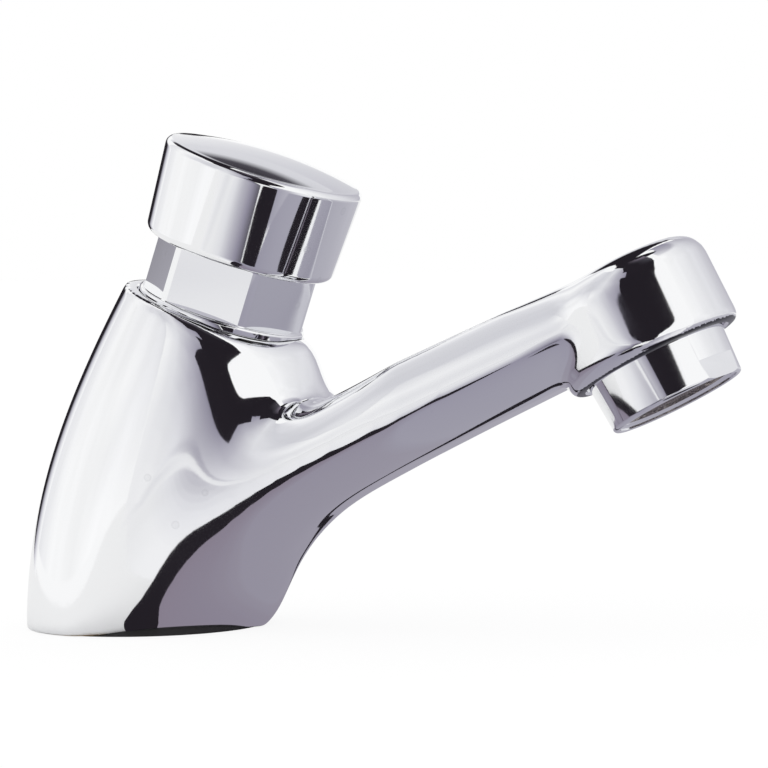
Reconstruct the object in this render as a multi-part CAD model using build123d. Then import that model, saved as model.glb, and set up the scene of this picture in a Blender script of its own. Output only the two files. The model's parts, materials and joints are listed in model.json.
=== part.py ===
from build123d import *
import os
from math import cos, hypot, pi, radians, sin

os.makedirs("parts", exist_ok=True)

# Push timed basin tap, millimetres, X towards the spout, Y across, Z up, origin on the deck under the inlet

# Casting, overall shape
push_lean = 20.3
mouth_forward = 19.5
mouth_height = 66.6
mouth_radius = 20.9
mouth_round = 1.2
base_back_length = 26.4
base_front_length = 27.2
base_half_width = 24.5
base_edge_round = 1.4
back_swell_share = 0.43
back_top_lean = 32.0
back_top_share = 0.38
front_lean = 29.4
front_swell_share = 0.42
collar_front_lean = 21.0
collar_front_share = 0.26
waist_spread = 0.9
column_steps = 7

# Spout of the casting
spout_rise = 22.6
spout_tip_forward = 112.7
spout_tip_lift = 9.2
spout_equator_share = 0.52
spout_top_bulge_share = 0.75
spout_keel_share = 0.5
spout_keel_lift_share = 0.12
spout_flank_drop_share = 0.55
valley_round = 4.6
keel_round = 1.5

# Stations along the spout, each as distance back from the tip, depth, half width on top, at the equator and under
spout_stations = [
    (1.5, 17.4, 12.4, 16.4, 4.0),
    (14.0, 17.7, 14.5, 17.6, 4.5),
    (28.0, 18.0, 15.2, 17.8, 4.9),
    (50.0, 18.7, 15.7, 18.2, 5.4),
    (70.0, 19.7, 16.3, 18.9, 5.9),
    (83.0, 21.3, 16.9, 19.7, 6.2),
    (92.0, 24.2, 17.4, 20.4, 6.4),
    (100.0, 28.3, 17.8, 21.0, 6.6),
    (112.0, 32.5, 18.0, 21.4, 6.8),
]

# Head at the end of the spout
outlet_lean = 26.5
outlet_forward = 120.2
outlet_drop = 20.1
head_radius = 18.7
head_length = 20.3
head_top_round = 5.5
head_foot_round = 1.8
head_recess_radius = 15.6
head_recess_depth = 1.5
head_thread_radius = 14.1
head_thread_length = 9.4
head_chamber_radius = 10.0
head_chamber_length = 3.6

# Aerator at the outlet
collar_foot_radius = 14.25
collar_top_radius = 15.06
collar_length = 11.3
collar_foot_round = 0.8
collar_mouth_radius = 13.0
collar_mouth_depth = 0.9
collar_lip_radius = 11.3
collar_lip_thickness = 1.1
collar_bore_radius = 12.4
collar_thread_radius = 13.9
collar_thread_length = 7.4
wrench_flat_depth = 0.8
wrench_flat_height = 4.4
wrench_flat_turn = -19.5
insert_gap = 0.15
screen_thickness = 0.6
screen_hole_side = 1.5
screen_hole_pitch = 2.3
screen_rim = 1.6
core_height = 8.0
core_wall = 2.4
core_hub_radius = 2.6
core_rib_width = 1.2
core_ribs = 8
flow_disc_thickness = 1.8
flow_slot_length = 2.6
flow_slot_width = 1.2
flow_slot_ring = 8.0
flow_slots = 8
strainer_height = 2.6
strainer_radius = 9.4
strainer_wall = 0.7
strainer_holes = 6
strainer_hole_radius = 1.2
strainer_hole_ring = 5.6
aerator_gasket_inner = 10.6

# Bonnet nut that closes the cartridge
mouth_recess_radius = 18.3
mouth_recess_depth = 1.8
bonnet_gasket_thickness = 0.8
flange_radius = 17.96
flange_thickness = 1.8
flange_bevel = 0.5
hex_across_flats = 31.1
hex_corner_radius = 17.05
hex_height = 13.6
hex_turn = 9.3
bonnet_thread_radius = 14.8
thread_gap = 0.2
spring_well_radius = 10.4
spring_well_floor = 1.0
bonnet_plug_depth = 10.6
bush_bore_radius = 5.5

# Stem and its guide
stem_radius = 3.5
stem_tail_radius = 3.0
stem_end_radius = 2.4
stem_neck_radius = 2.5
stem_gap = 0.06
assembly_gap = 0.1
bush_collar_radius = 8.2
bush_collar_thickness = 1.0
stem_seal_section = 0.9
seal_clip_thickness = 0.6
seal_clip_bite = 0.6
spring_washer_thickness = 0.8
spring_washer_radius = 9.7

# Timing cylinder, piston and their seals
chamber_radius = 14.1
cylinder_gap = 0.3
cylinder_wall = 2.6
cylinder_floor = 2.0
cylinder_bore_depth = 14.6
window_count = 4
window_width = 9.0
window_height = 4.6
skirt_height = 6.0
skirt_wall = 2.0
cylinder_seal_drop = 4.0
cylinder_seal_section = 0.75
seal_sides = 8
floor_seal_section = 0.5
piston_height = 6.0
piston_top_drop = 0.6
piston_gap = 0.35
piston_groove_height = 2.2
piston_groove_depth = 1.6
piston_clip_thickness = 0.6
piston_clip_radius = 4.8
clip_groove_depth = 0.6
metering_pin_radius = 0.8
metering_pin_ring = 7.4
metering_head_radius = 1.4
metering_head_height = 0.6

# Valve seat and valve
seat_flange_thickness = 1.4
seat_flange_radius = 13.6
seat_barrel_length = 4.0
seat_bore_radius = 5.6
seat_lip_width = 1.4
seat_lip_height = 0.6
seat_seal_section = 0.75
lower_bore_radius = 10.0
valve_gap = 0.05
valve_washer_radius = 8.4
valve_washer_thickness = 2.2
valve_holder_radius = 9.0
valve_holder_thickness = 2.0
valve_holder_rim_height = 1.5
valve_nut_across_flats = 8.0
valve_nut_height = 2.2
stem_end_spare = 0.3
valve_travel_spare = 0.5

# Push button
push_travel = 7.0
button_foot_height = 11.7
button_foot_radius = 20.15
button_top_radius = 21.3
button_side_height = 19.8
button_foot_round = 1.9
button_top_round = 1.7
button_dome_height = 2.5
button_bore_radius = 17.75
button_roof = 4.1
carrier_disc_thickness = 2.0
carrier_tube_radius = 9.6
carrier_tube_length = 11.5
carrier_ribs = 6
carrier_rib_width = 1.6
carrier_rib_drop = 5.0
carrier_shoulder_drop = 6.5
stem_nut_height = 1.9
stem_nut_across_flats = 8.0
snap_ring_thickness = 0.8
snap_ring_width = 1.4
snap_ring_bite = 0.6

# Return spring
spring_wire = 1.4
spring_mean_radius = 7.4
spring_turns = 5.25
spring_wire_sides = 8
spring_points_per_turn = 48

# Underside of the casting, inlet and fixing
base_wall = 3.6
gasket_step_width = 1.4
gasket_step_depth = 2.0
gasket_slack = 0.2
recess_depth = 9.0
inlet_radius = 9.32
inlet_length = 11.5
inlet_boss_wall = 3.4
strainer_seat_radius = 7.2
strainer_seat_depth = 1.8
inlet_passage_radius = 6.0
inlet_passage_top = 22.0
inlet_strainer_rim = 1.2
inlet_strainer_height = 1.6
inlet_strainer_wall = 0.7
inlet_slots = 6
inlet_slot_width = 1.6
stud_back = 18.3
stud_hole_radius = 3.4
stud_hole_depth = 12.0
stud_boss_radius = 5.6

# Waterway inside the spout
waterway_radius = 4.5
waterway_bend_forward = 58.0
waterway_bend_drop = 24.2
waterway_entry_drop = 30.0
waterway_entry_reach = 11.0

# Directions and frames worked out from the values above
push_up = Vector(sin(radians(push_lean)), 0, cos(radians(push_lean)))
push_ahead = Vector(cos(radians(push_lean)), 0, -sin(radians(push_lean)))
mouth_centre = Vector(mouth_forward, 0, mouth_height)
push_frame = Plane(origin=mouth_centre, x_dir=push_ahead, z_dir=push_up)
outlet_up = Vector(-sin(radians(outlet_lean)), 0, cos(radians(outlet_lean)))
outlet_ahead = Vector(cos(radians(outlet_lean)), 0, sin(radians(outlet_lean)))
outlet_centre = Vector(outlet_forward, 0, mouth_height - outlet_drop)
outlet_frame = Plane(origin=outlet_centre, x_dir=outlet_ahead, z_dir=outlet_up)
spout_ahead = Vector(cos(radians(spout_rise)), 0, sin(radians(spout_rise)))
spout_tip = Vector(spout_tip_forward, 0, mouth_height + spout_tip_lift)

# Heights along the push axis, zero at the mouth of the casting
flange_under = bonnet_gasket_thickness - mouth_recess_depth
flange_top = flange_under + flange_thickness
hex_top = flange_top + hex_height
well_floor = flange_under - spring_well_floor + bonnet_gasket_thickness / 2
plug_end = -bonnet_plug_depth
cylinder_top = plug_end
cylinder_floor_top = cylinder_top - cylinder_bore_depth
cylinder_floor_under = cylinder_floor_top - cylinder_floor
cylinder_foot = cylinder_floor_under - skirt_height
ledge = cylinder_foot - seat_flange_thickness
seat_end = ledge - seat_barrel_length
lip_end = seat_end - seat_lip_height
valve_top = lip_end - valve_gap
holder_top = valve_top - valve_washer_thickness
holder_under = holder_top - valve_holder_thickness
nut_under = holder_under - valve_nut_height
stem_end = nut_under - stem_end_spare
lower_bore_end = holder_under - push_travel - valve_travel_spare
nut_pocket_end = stem_end - push_travel - valve_travel_spare
piston_top = cylinder_top - piston_top_drop
piston_under = piston_top - piston_height
button_foot = flange_top + button_foot_height
button_side_top = button_foot + button_side_height
button_crown = button_side_top + button_dome_height
button_ceiling = button_crown - button_roof
carrier_disc_under = button_ceiling - carrier_disc_thickness
carrier_foot = button_ceiling - carrier_tube_length
carrier_shoulder = button_ceiling - carrier_shoulder_drop
bush_collar_top = well_floor + bush_collar_thickness
washer_top = bush_collar_top + spring_washer_thickness

# Heights along the outlet axis, zero at the outlet
head_foot = collar_length - head_recess_depth
head_top = head_foot + head_length
seat_face = collar_length + head_thread_length
chamber_roof = seat_face + head_chamber_length
collar_thread_top = collar_length + collar_thread_length
lip_top = collar_mouth_depth + collar_lip_thickness
screen_top = lip_top + screen_thickness
core_top = screen_top + core_height
disc_top = core_top + flow_disc_thickness
insert_radius = collar_bore_radius - insert_gap


def turned(points):
    """Body of revolution about Z from corners given as radius and height."""
    outline = [(radius, height) for radius, height in points]
    face = make_face(Polyline(*outline, close=True))
    return revolve(Plane.XZ * face, Axis.Z, 360)


def tube(outer, inner, low, high):
    """Plain ring or bush between two heights."""
    return turned([(inner, low), (outer, low), (outer, high), (inner, high)])


def rod(radius, low, high):
    """Plain cylinder between two heights."""
    return Pos(0, 0, low) * Cylinder(radius, high - low, align=(Align.CENTER, Align.CENTER, Align.MIN))


def seal_ring(section, centre_radius, height):
    """Rubber ring with a round section, drawn with a few flats."""
    shape = RegularPolygon(section, seal_sides, major_radius=False, rotation=180 / seal_sides)
    return revolve(Plane.XZ * Pos(centre_radius, height) * shape, Axis.Z, 360)


def hex_bar(across_flats, low, high, turn):
    """Six-sided bar between two heights."""
    shape = RegularPolygon(across_flats / 2, 6, major_radius=False, rotation=turn)
    return Pos(0, 0, low) * extrude(shape, high - low)


def hoops(piece):
    """Closed round edges of a piece, from the lowest to the highest."""
    return piece.edges().filter_by(lambda edge: edge.is_closed).sort_by(Axis.Z)


def around(piece, count, start=0):
    """Copies of a piece at even steps about Z."""
    return [Rot(0, 0, start + step * 360 / count) * piece for step in range(count)]


def save(name, piece, frame=None):
    """Write one node, moved from its own axis into the tap."""
    placed = piece if frame is None else frame.location * piece
    placed.label = name
    export_step(placed, "parts/" + name + ".step")


def curve_point(points, share):
    """Point at a share of the way along a four-point curve in the middle plane."""
    rest = 1 - share
    weights = (rest ** 3, 3 * rest * rest * share, 3 * rest * share * share, share ** 3)
    return tuple(sum(w * p[axis] for w, p in zip(weights, points)) for axis in (0, 1))


def casting_column():
    """Column of the casting, from the oval foot to the leaning round mouth."""
    back_end = mouth_centre - push_ahead * mouth_radius
    front_end = mouth_centre + push_ahead * mouth_radius
    back_pull = back_top_share * mouth_height
    front_push = front_swell_share * mouth_height
    collar_pull = collar_front_share * mouth_height
    back_lean_x, back_lean_z = sin(radians(back_top_lean)), cos(radians(back_top_lean))
    back = [
        (-base_back_length, 0),
        (-base_back_length, back_swell_share * mouth_height),
        (back_end.X - back_lean_x * back_pull, back_end.Z - back_lean_z * back_pull),
        (back_end.X, back_end.Z),
    ]
    front = [
        (base_front_length, 0),
        (
            base_front_length + front_push * sin(radians(front_lean)),
            front_push * cos(radians(front_lean)),
        ),
        (
            front_end.X + collar_pull * sin(radians(collar_front_lean)),
            front_end.Z - collar_pull * cos(radians(collar_front_lean)),
        ),
        (front_end.X, front_end.Z),
    ]
    rings = []
    for step in range(column_steps):
        share = step / (column_steps - 1)
        rear_x, rear_z = curve_point(back, share)
        fore_x, fore_z = curve_point(front, share)
        length = hypot(fore_x - rear_x, fore_z - rear_z)
        along_x = (fore_x - rear_x) / length
        along_z = (fore_z - rear_z) / length
        spread = waist_spread * 4 * share * (1 - share)
        half_width = base_half_width * (1 - share) + mouth_radius * share + spread
        ring_frame = Plane(
            origin=((fore_x + rear_x) / 2, 0, (fore_z + rear_z) / 2),
            x_dir=(along_x, 0, along_z),
            z_dir=(-along_z, 0, along_x),
        )
        round_ring = Circle(half_width)
        oval_ring = scale(round_ring, by=(length / 2 / half_width, 1, 1))
        rings.append(ring_frame * oval_ring)
    column = loft(rings)
    column = fillet(hoops(column)[-1:], mouth_round)
    return fillet(hoops(column)[:1], base_edge_round)


def spout_section(back, depth, top, middle, under):
    """Cross-section of the spout, flat on top, full at the sides, with a narrow flat keel and rounded corners."""
    waist = spout_equator_share * depth
    below = depth - waist
    upper = [
        (top, 0),
        (top + spout_top_bulge_share * (middle - top), -waist / 4),
        (middle, -waist * 3 / 5),
        (middle, -waist),
    ]
    corner = Vector(under, -depth)
    pull = Vector(under + spout_keel_share * (middle - under), -depth + spout_keel_lift_share * below)
    round_start = corner + (pull - corner).normalized() * keel_round
    lower = [
        (middle, -waist),
        (middle, -waist - spout_flank_drop_share * below),
        (pull.X, pull.Y),
        (round_start.X, round_start.Y),
    ]
    keel = [
        (round_start.X, round_start.Y),
        (under, -depth),
        (under - keel_round, -depth),
    ]
    mirrored_upper = [(-across, height) for across, height in reversed(upper)]
    mirrored_lower = [(-across, height) for across, height in reversed(lower)]
    mirrored_keel = [(-across, height) for across, height in reversed(keel)]
    outline = Wire(
        [
            Line((-top, 0), (top, 0)),
            Bezier(*upper),
            Bezier(*lower),
            Bezier(*keel),
            Line(keel[-1], mirrored_keel[0]),
            Bezier(*mirrored_keel),
            Bezier(*mirrored_lower),
            Bezier(*mirrored_upper),
        ]
    )
    frame = Plane(origin=spout_tip - spout_ahead * back, x_dir=(0, 1, 0), z_dir=spout_ahead)
    return frame * Face(outline)


def lies_in_valley(edge):
    """True for the edges where the top of the spout runs up against the leaning column."""
    place = edge.center()
    ahead = mouth_forward + mouth_radius / 2
    far = mouth_forward + mouth_radius * 4 / 3
    low = mouth_height / 2
    high = mouth_height - mouth_radius / 2
    return ahead < place.X < far and low < place.Z < high and edge.length > valley_round


def casting_outside():
    """Outside of the casting: column, spout and head in one."""
    column = casting_column()
    spout = loft([spout_section(*station) for station in spout_stations])
    head = rod(head_radius, head_foot, head_top)
    head = fillet(hoops(head)[-1:], head_top_round)
    head = fillet(hoops(head)[:1], head_foot_round)
    head = outlet_frame.location * head
    outside = column + spout + head
    valley = [edge for edge in outside.edges() if lies_in_valley(edge)]
    return fillet(valley, valley_round)


def casting_hollows():
    """Everything cut out of the casting: mouth, cartridge chamber, waterway, outlet, inlet and underside."""
    mouth = rod(mouth_recess_radius, -mouth_recess_depth, mouth_radius)
    thread = rod(bonnet_thread_radius + thread_gap, plug_end, 0)
    chamber = rod(chamber_radius, ledge, plug_end)
    lower = rod(lower_bore_radius, lower_bore_end, ledge)
    pocket = rod(inlet_passage_radius, nut_pocket_end, lower_bore_end)
    cuts = [push_frame.location * piece for piece in (mouth, thread, chamber, lower, pocket)]
    recess = rod(head_recess_radius, -head_foot_round, collar_length)
    head_thread = rod(head_thread_radius, collar_length, seat_face)
    head_chamber = rod(head_chamber_radius, seat_face, chamber_roof)
    cuts += [outlet_frame.location * piece for piece in (recess, head_thread, head_chamber)]
    entry = mouth_centre - push_up * waterway_entry_drop
    start = entry + push_ahead * waterway_entry_reach
    bend = Vector(waterway_bend_forward, 0, mouth_height - waterway_bend_drop)
    end = outlet_centre + outlet_up * (seat_face + head_chamber_length / 2)
    for near, far in ((start, bend), (bend, end)):
        run = far - near
        frame = Plane(origin=near, z_dir=run)
        cuts.append(frame.location * rod(waterway_radius, 0, run.length))
    cuts.append(Pos(*bend) * Sphere(waterway_radius))
    cuts.append(rod(inlet_radius, -inlet_length, inlet_length))
    cuts.append(rod(strainer_seat_radius, 0, inlet_length + strainer_seat_depth))
    cuts.append(rod(inlet_passage_radius, 0, inlet_passage_top))
    cuts.append(Pos(-stud_back, 0, 0) * rod(stud_hole_radius, 0, stud_hole_depth))
    return cuts


def foot_oval(inset, height):
    """Oval block that stands inside the foot of the casting, drawn in from its edge."""
    half_length = (base_front_length + base_back_length) / 2 - inset
    middle = (base_front_length - base_back_length) / 2
    return Pos(middle, 0, 0) * extrude(Ellipse(half_length, base_half_width - inset), height)


def underside_recess():
    """Shallow hollow under the foot, with the gasket step, around the inlet boss and the stud boss."""
    bosses = rod(inlet_radius + inlet_boss_wall, 0, recess_depth)
    bosses += Pos(-stud_back, 0, 0) * rod(stud_boss_radius, 0, recess_depth)
    hollow = foot_oval(base_wall, recess_depth)
    step = foot_oval(base_wall - gasket_step_width, gasket_step_depth)
    return hollow + step - bosses


def least_gap(coil, reach):
    """Least gap of a coiled wire to itself, measured on points along its middle."""
    steps = round(spring_turns * spring_points_per_turn)
    points = [coil @ (step / steps) for step in range(steps + 1)]
    half_turn = spring_points_per_turn // 2
    pairs = [(near, far) for near in range(steps + 1) for far in range(near + half_turn, steps + 1)]
    nearest = min((points[far] - points[near]).length for near, far in pairs)
    return nearest - 2 * reach


def window_bars(width, height, reach, count, middle):
    """Bars that cut windows through a round wall."""
    bar = Pos(reach / 2, 0, middle) * Box(reach, width, height)
    return around(bar, count)


# Casting
casting = casting_outside()
for hollow in casting_hollows():
    casting = casting - hollow
casting = casting - underside_recess()
save("body_casting", casting)

# Gasket under the foot
gasket_hole = inlet_radius + inlet_boss_wall + gasket_slack
base_gasket = foot_oval(base_wall - gasket_step_width + gasket_slack, gasket_step_depth)
base_gasket -= rod(gasket_hole, 0, gasket_step_depth)
base_gasket -= Pos(-stud_back, 0, 0) * rod(stud_boss_radius + gasket_slack, 0, gasket_step_depth)
save("base_gasket", base_gasket)

# Strainer above the inlet thread
strainer_ceiling = inlet_length + strainer_seat_depth
basket_radius = inlet_passage_radius - insert_gap
basket_top = strainer_ceiling + inlet_strainer_height
rim_under = strainer_ceiling - inlet_strainer_rim
inlet_strainer = rod(strainer_seat_radius - insert_gap, rim_under, strainer_ceiling)
inlet_strainer += rod(basket_radius, strainer_ceiling, basket_top)
inlet_strainer -= rod(basket_radius - inlet_strainer_wall, rim_under, basket_top - inlet_strainer_wall)
slot_height = inlet_strainer_height / 2
slot_middle = strainer_ceiling + slot_height
for slot in window_bars(inlet_slot_width, slot_height, basket_radius * 2, inlet_slots, slot_middle):
    inlet_strainer -= slot
save("inlet_strainer", inlet_strainer)

# Valve seat, screwed in under the timing cylinder
seat_barrel_radius = lower_bore_radius - insert_gap
groove_floor = lower_bore_radius - 2 * seat_seal_section
seat_middle = ledge - seat_barrel_length / 2
valve_seat = turned(
    [
        (seat_bore_radius, lip_end),
        (seat_bore_radius + seat_lip_width, lip_end),
        (seat_bore_radius + seat_lip_width, seat_end),
        (seat_barrel_radius, seat_end),
        (seat_barrel_radius, seat_middle - seat_seal_section),
        (groove_floor, seat_middle - seat_seal_section),
        (groove_floor, seat_middle + seat_seal_section),
        (seat_barrel_radius, seat_middle + seat_seal_section),
        (seat_barrel_radius, ledge),
        (seat_flange_radius, ledge),
        (seat_flange_radius, cylinder_foot),
        (seat_bore_radius, cylinder_foot),
    ]
)
save("valve_seat", valve_seat, push_frame)
seat_seal = seal_ring(seat_seal_section, lower_bore_radius - seat_seal_section, seat_middle)
save("seat_seal", seat_seal, push_frame)

# Timing cylinder with its floor, skirt windows and seals
cylinder_radius = chamber_radius - cylinder_gap
cylinder_bore = cylinder_radius - cylinder_wall
skirt_bore = cylinder_radius - skirt_wall
cylinder_seal_height = cylinder_top - cylinder_seal_drop
cylinder_groove = chamber_radius - 2 * cylinder_seal_section
tail_bore = stem_tail_radius + assembly_gap
floor_seal_height = cylinder_floor_top - cylinder_floor / 2
floor_groove = stem_tail_radius + assembly_gap / 2 + 2 * floor_seal_section
timing_cylinder = turned(
    [
        (skirt_bore, cylinder_foot),
        (cylinder_radius, cylinder_foot),
        (cylinder_radius, cylinder_seal_height - cylinder_seal_section),
        (cylinder_groove, cylinder_seal_height - cylinder_seal_section),
        (cylinder_groove, cylinder_seal_height + cylinder_seal_section),
        (cylinder_radius, cylinder_seal_height + cylinder_seal_section),
        (cylinder_radius, cylinder_top),
        (cylinder_bore, cylinder_top),
        (cylinder_bore, cylinder_floor_top),
        (tail_bore, cylinder_floor_top),
        (tail_bore, floor_seal_height + floor_seal_section),
        (floor_groove, floor_seal_height + floor_seal_section),
        (floor_groove, floor_seal_height - floor_seal_section),
        (tail_bore, floor_seal_height - floor_seal_section),
        (tail_bore, cylinder_floor_under),
        (skirt_bore, cylinder_floor_under),
    ]
)
window_middle = cylinder_foot + window_height / 2
for window in window_bars(window_width, window_height, cylinder_radius * 2, window_count, window_middle):
    timing_cylinder -= window
pin_place = Rot(0, 0, 180 / window_count) * Pos(metering_pin_ring, 0, 0)
pin_hole = rod(metering_pin_radius + assembly_gap, cylinder_floor_under, cylinder_floor_top)
timing_cylinder -= pin_place * pin_hole
save("timing_cylinder", timing_cylinder, push_frame)
cylinder_seal = seal_ring(cylinder_seal_section, chamber_radius - cylinder_seal_section, cylinder_seal_height)
save("cylinder_seal", cylinder_seal, push_frame)
floor_seal = seal_ring(floor_seal_section, floor_groove - floor_seal_section, floor_seal_height)
save("floor_seal", floor_seal, push_frame)
metering_pin = rod(metering_pin_radius, cylinder_floor_under, cylinder_floor_top)
metering_pin += rod(metering_head_radius, cylinder_floor_under - metering_head_height, cylinder_floor_under)
save("metering_pin", pin_place * metering_pin, push_frame)

# Bonnet nut and its gasket
gasket_bore = bonnet_thread_radius + thread_gap
bonnet_gasket = tube(flange_radius - flange_bevel, gasket_bore, -mouth_recess_depth, flange_under)
save("bonnet_gasket", bonnet_gasket, push_frame)
clip_low = plug_end + seal_clip_thickness
clip_high = clip_low + seal_clip_thickness
seal_high = clip_high + 2 * stem_seal_section
bonnet_nut = rod(flange_radius, flange_under, flange_top)
bonnet_nut = chamfer(hoops(bonnet_nut), flange_bevel)
hexagon = hex_bar(hex_across_flats, flange_top - flange_bevel, hex_top, hex_turn)
bonnet_nut += hexagon & rod(hex_corner_radius, flange_top - flange_bevel, hex_top)
bonnet_nut += rod(bonnet_thread_radius, plug_end, flange_under + flange_bevel)
bonnet_nut -= rod(spring_well_radius, well_floor, hex_top)
bonnet_nut -= rod(bush_bore_radius, plug_end, well_floor)
bonnet_nut -= rod(bush_bore_radius + seal_clip_bite, clip_low, clip_high)
save("bonnet_nut", bonnet_nut, push_frame)

# Guide bush, stem seal and its clip inside the bonnet
bush_bore = stem_radius + stem_gap
guide_bush = turned(
    [
        (bush_bore, seal_high),
        (bush_bore_radius - assembly_gap / 2, seal_high),
        (bush_bore_radius - assembly_gap / 2, well_floor),
        (bush_collar_radius, well_floor),
        (bush_collar_radius, bush_collar_top),
        (bush_bore, bush_collar_top),
    ]
)
save("guide_bush", guide_bush, push_frame)
stem_seal = seal_ring(stem_seal_section, bush_bore_radius - stem_seal_section, clip_high + stem_seal_section)
save("stem_seal", stem_seal, push_frame)
clip_radius = bush_bore_radius + seal_clip_bite - insert_gap
seal_clip = tube(clip_radius, stem_radius + stem_seal_section / 2, clip_low, clip_high)
save("seal_clip", seal_clip, push_frame)

# Spring washer and return spring round the stem
spring_washer = tube(spring_washer_radius, stem_radius + assembly_gap * 5, bush_collar_top, washer_top)
save("spring_washer", spring_washer, push_frame)
wire_radius = spring_wire / 2
spring_length = carrier_foot - washer_top
spring_rise = spring_length - spring_wire
spring_pitch = spring_rise / spring_turns
spring_path = Helix(spring_pitch, spring_rise, spring_mean_radius)
spring_start = Plane(origin=spring_path @ 0, z_dir=spring_path % 0)
wire_section = RegularPolygon(wire_radius, spring_wire_sides, major_radius=False)
return_spring = sweep(spring_start * wire_section, path=spring_path, is_frenet=True)
save("return_spring", Pos(0, 0, washer_top + wire_radius) * return_spring, push_frame)
pressed_rise = spring_rise - push_travel
pressed_path = Helix(pressed_rise / spring_turns, pressed_rise, spring_mean_radius)
wire_corner = wire_radius / cos(pi / spring_wire_sides)
print("least gap of the spring to itself, mm:", round(least_gap(spring_path, wire_corner), 2))
print("least gap of the spring when pressed, mm:", round(least_gap(pressed_path, wire_corner), 2))

# Stem, one turned piece from the stem nut down to the valve nut
stem_nut_top = carrier_shoulder + carrier_shoulder_drop - assembly_gap
stem = turned(
    [
        (0, stem_end),
        (stem_end_radius, stem_end),
        (stem_end_radius, holder_top),
        (stem_tail_radius, holder_top),
        (stem_tail_radius, piston_under - piston_clip_thickness),
        (stem_tail_radius - clip_groove_depth, piston_under - piston_clip_thickness),
        (stem_tail_radius - clip_groove_depth, piston_under),
        (stem_tail_radius, piston_under),
        (stem_tail_radius, piston_top),
        (stem_radius, piston_top),
        (stem_radius, carrier_shoulder),
        (stem_neck_radius, carrier_shoulder),
        (stem_neck_radius, stem_nut_top),
        (0, stem_nut_top),
    ]
)
save("stem", stem, push_frame)

# Piston, its lip seal and its clip
piston_radius = cylinder_bore - piston_gap
groove_middle = piston_under + piston_height / 2
groove_low = groove_middle - piston_groove_height / 2
groove_high = groove_middle + piston_groove_height / 2
groove_radius = piston_radius - piston_groove_depth
piston = turned(
    [
        (tail_bore, piston_under),
        (piston_radius, piston_under),
        (piston_radius, groove_low),
        (groove_radius, groove_low),
        (groove_radius, groove_high),
        (piston_radius, groove_high),
        (piston_radius, piston_top),
        (tail_bore, piston_top),
    ]
)
save("piston", piston, push_frame)
lip_radius = cylinder_bore - assembly_gap / 2
lip_root = groove_radius + piston_groove_depth / 2
piston_lip_seal = turned(
    [
        (groove_radius + insert_gap, groove_low),
        (lip_root, groove_low),
        (lip_radius, groove_middle),
        (lip_radius, groove_high),
        (lip_root, groove_middle),
        (lip_root, groove_high),
        (groove_radius + insert_gap, groove_high),
    ]
)
save("piston_lip_seal", piston_lip_seal, push_frame)
clip_bore = stem_tail_radius - clip_groove_depth + assembly_gap / 2
clip_slot_width = clip_bore * 2
piston_clip = tube(piston_clip_radius, clip_bore, piston_under - piston_clip_thickness, piston_under)
clip_slot = Pos(piston_clip_radius, 0, piston_under) * Box(
    piston_clip_radius * 2, clip_slot_width, piston_clip_thickness * 4
)
save("piston_clip", piston_clip - clip_slot, push_frame)

# Valve under the seat: rubber washer in a holder, held by a nut
valve_washer = tube(valve_washer_radius, tail_bore, holder_top, valve_top)
save("valve_washer", valve_washer, push_frame)
end_bore = stem_end_radius + assembly_gap
rim_bore = valve_washer_radius + assembly_gap
valve_holder = turned(
    [
        (end_bore, holder_under),
        (valve_holder_radius, holder_under),
        (valve_holder_radius, holder_top + valve_holder_rim_height),
        (rim_bore, holder_top + valve_holder_rim_height),
        (rim_bore, holder_top),
        (end_bore, holder_top),
    ]
)
save("valve_holder", valve_holder, push_frame)
valve_nut = hex_bar(valve_nut_across_flats, nut_under, holder_under, hex_turn)
valve_nut -= rod(end_bore, nut_under, holder_under)
save("valve_nut", valve_nut, push_frame)

# Push button cap
cap_side = [
    (0, button_crown),
    (0, button_foot),
    (button_foot_radius, button_foot),
    (button_top_radius, button_side_top),
]
cap_edge = ThreePointArc(
    (button_top_radius, button_side_top),
    (button_top_radius / 2, button_side_top + button_dome_height * 3 / 4),
    (0, button_crown),
)
cap_outline = Polyline(*cap_side).edges() + [cap_edge]
button_cap = revolve(Plane.XZ * make_face(cap_outline), Axis.Z, 360)
button_cap = fillet(hoops(button_cap)[:1], button_foot_round)
button_cap = fillet(hoops(button_cap)[-1:], button_top_round)
button_cap -= rod(button_bore_radius, button_foot, button_ceiling)
ring_low = carrier_disc_under - snap_ring_thickness
button_cap -= rod(button_bore_radius + snap_ring_bite, ring_low, carrier_disc_under)
save("button_cap", button_cap, push_frame)

# Carrier pressed up inside the cap, with ribs and a nut pocket
disc_radius = button_bore_radius - insert_gap
nut_pocket = stem_nut_across_flats / 2 / cos(pi / 6) + insert_gap
nut_seat = button_ceiling - stem_nut_height - assembly_gap
button_carrier = rod(disc_radius, carrier_disc_under, button_ceiling)
button_carrier += rod(carrier_tube_radius, carrier_foot, button_ceiling)
rib_reach = disc_radius - snap_ring_width * 2
rib_middle = carrier_disc_under - carrier_rib_drop / 2
rib = Pos(rib_reach / 2, 0, rib_middle) * Box(rib_reach, carrier_rib_width, carrier_rib_drop)
for piece in around(rib, carrier_ribs):
    button_carrier += piece
button_carrier -= rod(stem_radius + assembly_gap, carrier_foot, carrier_shoulder)
button_carrier -= rod(stem_neck_radius + assembly_gap, carrier_shoulder, button_ceiling)
button_carrier -= rod(nut_pocket, nut_seat, button_ceiling)
save("button_carrier", button_carrier, push_frame)
ring_radius = button_bore_radius + snap_ring_bite - insert_gap
snap_ring = tube(ring_radius, ring_radius - snap_ring_width, ring_low, carrier_disc_under)
ring_gap = Pos(ring_radius, 0, carrier_disc_under) * Box(
    ring_radius, snap_ring_width * 3, snap_ring_thickness * 4
)
save("button_snap_ring", snap_ring - ring_gap, push_frame)
stem_nut = hex_bar(stem_nut_across_flats, nut_seat, nut_seat + stem_nut_height, hex_turn)
stem_nut -= rod(stem_neck_radius + assembly_gap, nut_seat, button_ceiling)
save("stem_nut", stem_nut, push_frame)

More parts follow.
